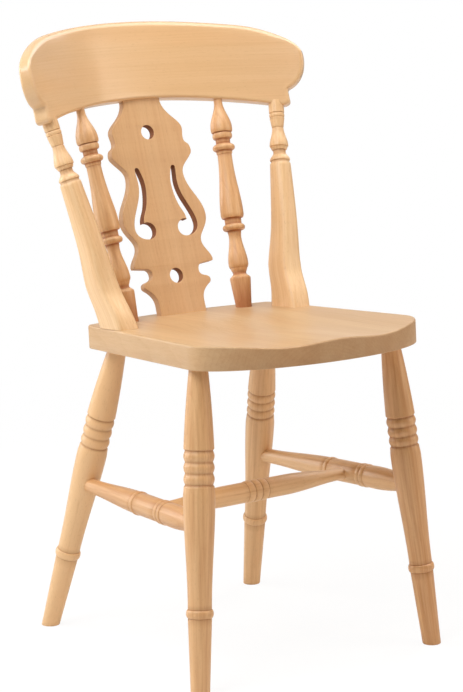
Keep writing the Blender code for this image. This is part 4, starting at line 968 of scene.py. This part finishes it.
# Studio: pale floor, six soft lamps and a dim warm world; its pale back and soft box show in reflections
studio = dict(
    lamps=dict(  # azimuth and elevation in degrees, width in metres, power in watts, colour
        key=(-75.0, 45.0, 1.4, 39.0, "plain"), top=(-70.0, 72.0, 1.6, 22.0, "plain"),
        over=(35.0, 77.0, 0.75, 6.0, "plain"), rim=(-138.0, 18.0, 1.5, 34.0, "plain"),
        right=(48.0, 18.0, 1.5, 25.0, "warm"), back=(106.0, 40.0, 1.3, 14.0, "plain"),
    ),
    plain=(0.98, 1.0, 1.02), warm=(1.0, 0.88, 0.75),  # the light that comes back from the room is warmer
    white=(1.0, 1.0, 1.0), away=2.6, aim=(0.0, 0.0, 0.45), fill=0.20,
    gloss=(0.12, 0.75), glossSpan=(-0.2, 0.8),  # front and back of the world in reflections
    boxAt=(52.0, 68.0), boxReach=(35.0, 15.0), boxShine=5.0,  # soft box fades between the two angles
    floorWhite=0.92, floorHalf=6.0, shadowShare=0.12, glow=0.892, shadowReach=(0.7, 2.0),
)


def facing(azimuth, elevation):
    # unit vector towards a lamp or the camera: azimuth 0 is straight ahead of the chair, negative to its left
    a, e = np.radians([azimuth, elevation])
    return np.array([np.sin(a) * np.cos(e), -np.cos(a) * np.cos(e), np.sin(e)])


def placed(name, data, across, back, spot):
    # across, up and back become the object's own axes
    turn = np.eye(4)
    turn[:3, :3] = np.column_stack([across, np.cross(back, across), back])
    turn[:3, 3] = spot
    made = addObject(name, data)
    made.matrix_world = Matrix(turn.tolist())
    return made


def makeFloor():
    # the camera sees near-white that keeps a faint shadow and fades to white; the chair gets bounced light
    finish, tree, shader = newFinish("paleFloor")
    tree.nodes.remove(shader)

    def plain(kind, level):
        return addNode(tree, kind, {"Color": (level, level, level, 1.0)}).outputs[0]

    bounce = plain("BsdfDiffuse", studio["floorWhite"])
    faint = plain("BsdfDiffuse", studio["shadowShare"])
    glow = plain("Emission", studio["glow"])
    near = addNode(tree, "AddShader", {0: faint, 1: glow}).outputs[0]
    away = plain("Emission", 1.0)
    place = addNode(tree, "TexCoord").outputs["Object"]
    reach = vectorNode(tree, "LENGTH", place, socket="Value")
    fade = mapRange(tree, reach, *studio["shadowReach"], shape="SMOOTHSTEP")
    shown = addNode(tree, "MixShader", {0: fade, 1: near, 2: away}).outputs[0]
    seen = addNode(tree, "LightPath").outputs["Is Camera Ray"]
    mix = addNode(tree, "MixShader", {0: seen, 1: bounce, 2: shown}).outputs[0]
    feed(tree, tree.nodes["Material Output"], {"Surface": mix})
    corners = np.array([[-1, -1, 0], [1, -1, 0], [1, 1, 0], [-1, 1, 0]]) * studio["floorHalf"]
    mesh = bpy.data.meshes.new("floor")
    mesh.from_pydata(corners.tolist(), [], [[0, 1, 2, 3]])
    mesh.materials.append(finish)
    floor = addObject("floor", mesh)


def makeLight():
    # the camera sees a white world, shiny places a shaded one with a soft box, and the rest an even dim one
    world = bpy.data.worlds.new("studio")
    bpy.context.scene.world = world
    world.use_nodes = True
    tree = world.node_tree
    background = tree.nodes["Background"]
    path = addNode(tree, "LightPath")
    seen, shiny = path.outputs["Is Camera Ray"], path.outputs["Is Glossy Ray"]
    toward = addNode(tree, "TexCoord").outputs["Generated"]
    split = addNode(tree, "SeparateXYZ", {0: toward})
    shaded = mapRange(tree, split.outputs[1], *studio["glossSpan"], *studio["gloss"])
    nearBox = vectorNode(tree, "DOT_PRODUCT", toward, facing(*studio["boxAt"]), "Value")
    fade = np.cos(np.radians(studio["boxReach"]))
    box = mapRange(tree, nearBox, *fade, 0.0, studio["boxShine"], "SMOOTHSTEP")
    mirrored = mathNode(tree, "ADD", shaded, box)
    unseen = addNode(tree, "Mix", {0: shiny, 2: studio["fill"], 3: mirrored}).outputs[0]
    strength = addNode(tree, "Mix", {0: seen, 2: unseen, 3: 1.0}).outputs[0]
    colour = mixColour(tree, mathNode(tree, "MAXIMUM", seen, shiny), studio["warm"], studio["white"])
    feed(tree, background, {"Color": colour, "Strength": strength})
    for name, (azimuth, elevation, wide, power, tint) in studio["lamps"].items():
        lamp = bpy.data.lights.new(name, "AREA")
        lamp.size = wide
        lamp.energy = power
        lamp.color = studio[tint]
        back = facing(azimuth, elevation)
        across = unit(np.cross([0.0, 0.0, 1.0], back))
        spot = np.array(studio["aim"]) + back * studio["away"]
        placed(name, lamp, across, back, spot)


camera = dict(
    azimuth=-33.9514, elevation=9.875, roll=-1.4348, away=3.3187, aim=(-0.0088, -0.0015, 0.4135),
    lens=190.32, sensor=36.0,
)


def makeCamera():
    # looks at the aim point from its azimuth and elevation, then rolls about the view
    back = facing(camera["azimuth"], camera["elevation"])
    right = unit(np.cross(-back, [0.0, 0.0, 1.0]))
    up = np.cross(right, -back)
    roll = np.radians(camera["roll"])
    data = bpy.data.cameras.new("camera")
    data.sensor_fit = "HORIZONTAL"
    data.sensor_width = camera["sensor"]
    data.lens = camera["lens"]
    spot = np.array(camera["aim"]) + [0.0, chair["shift"], 0.0] + camera["away"] * back
    across = np.cos(roll) * right + np.sin(roll) * up
    bpy.context.scene.camera = placed("camera", data, across, back, spot)


makeFloor()
makeLight()
makeCamera()
bpy.context.scene.view_settings.view_transform = "Standard"
print("studio set")
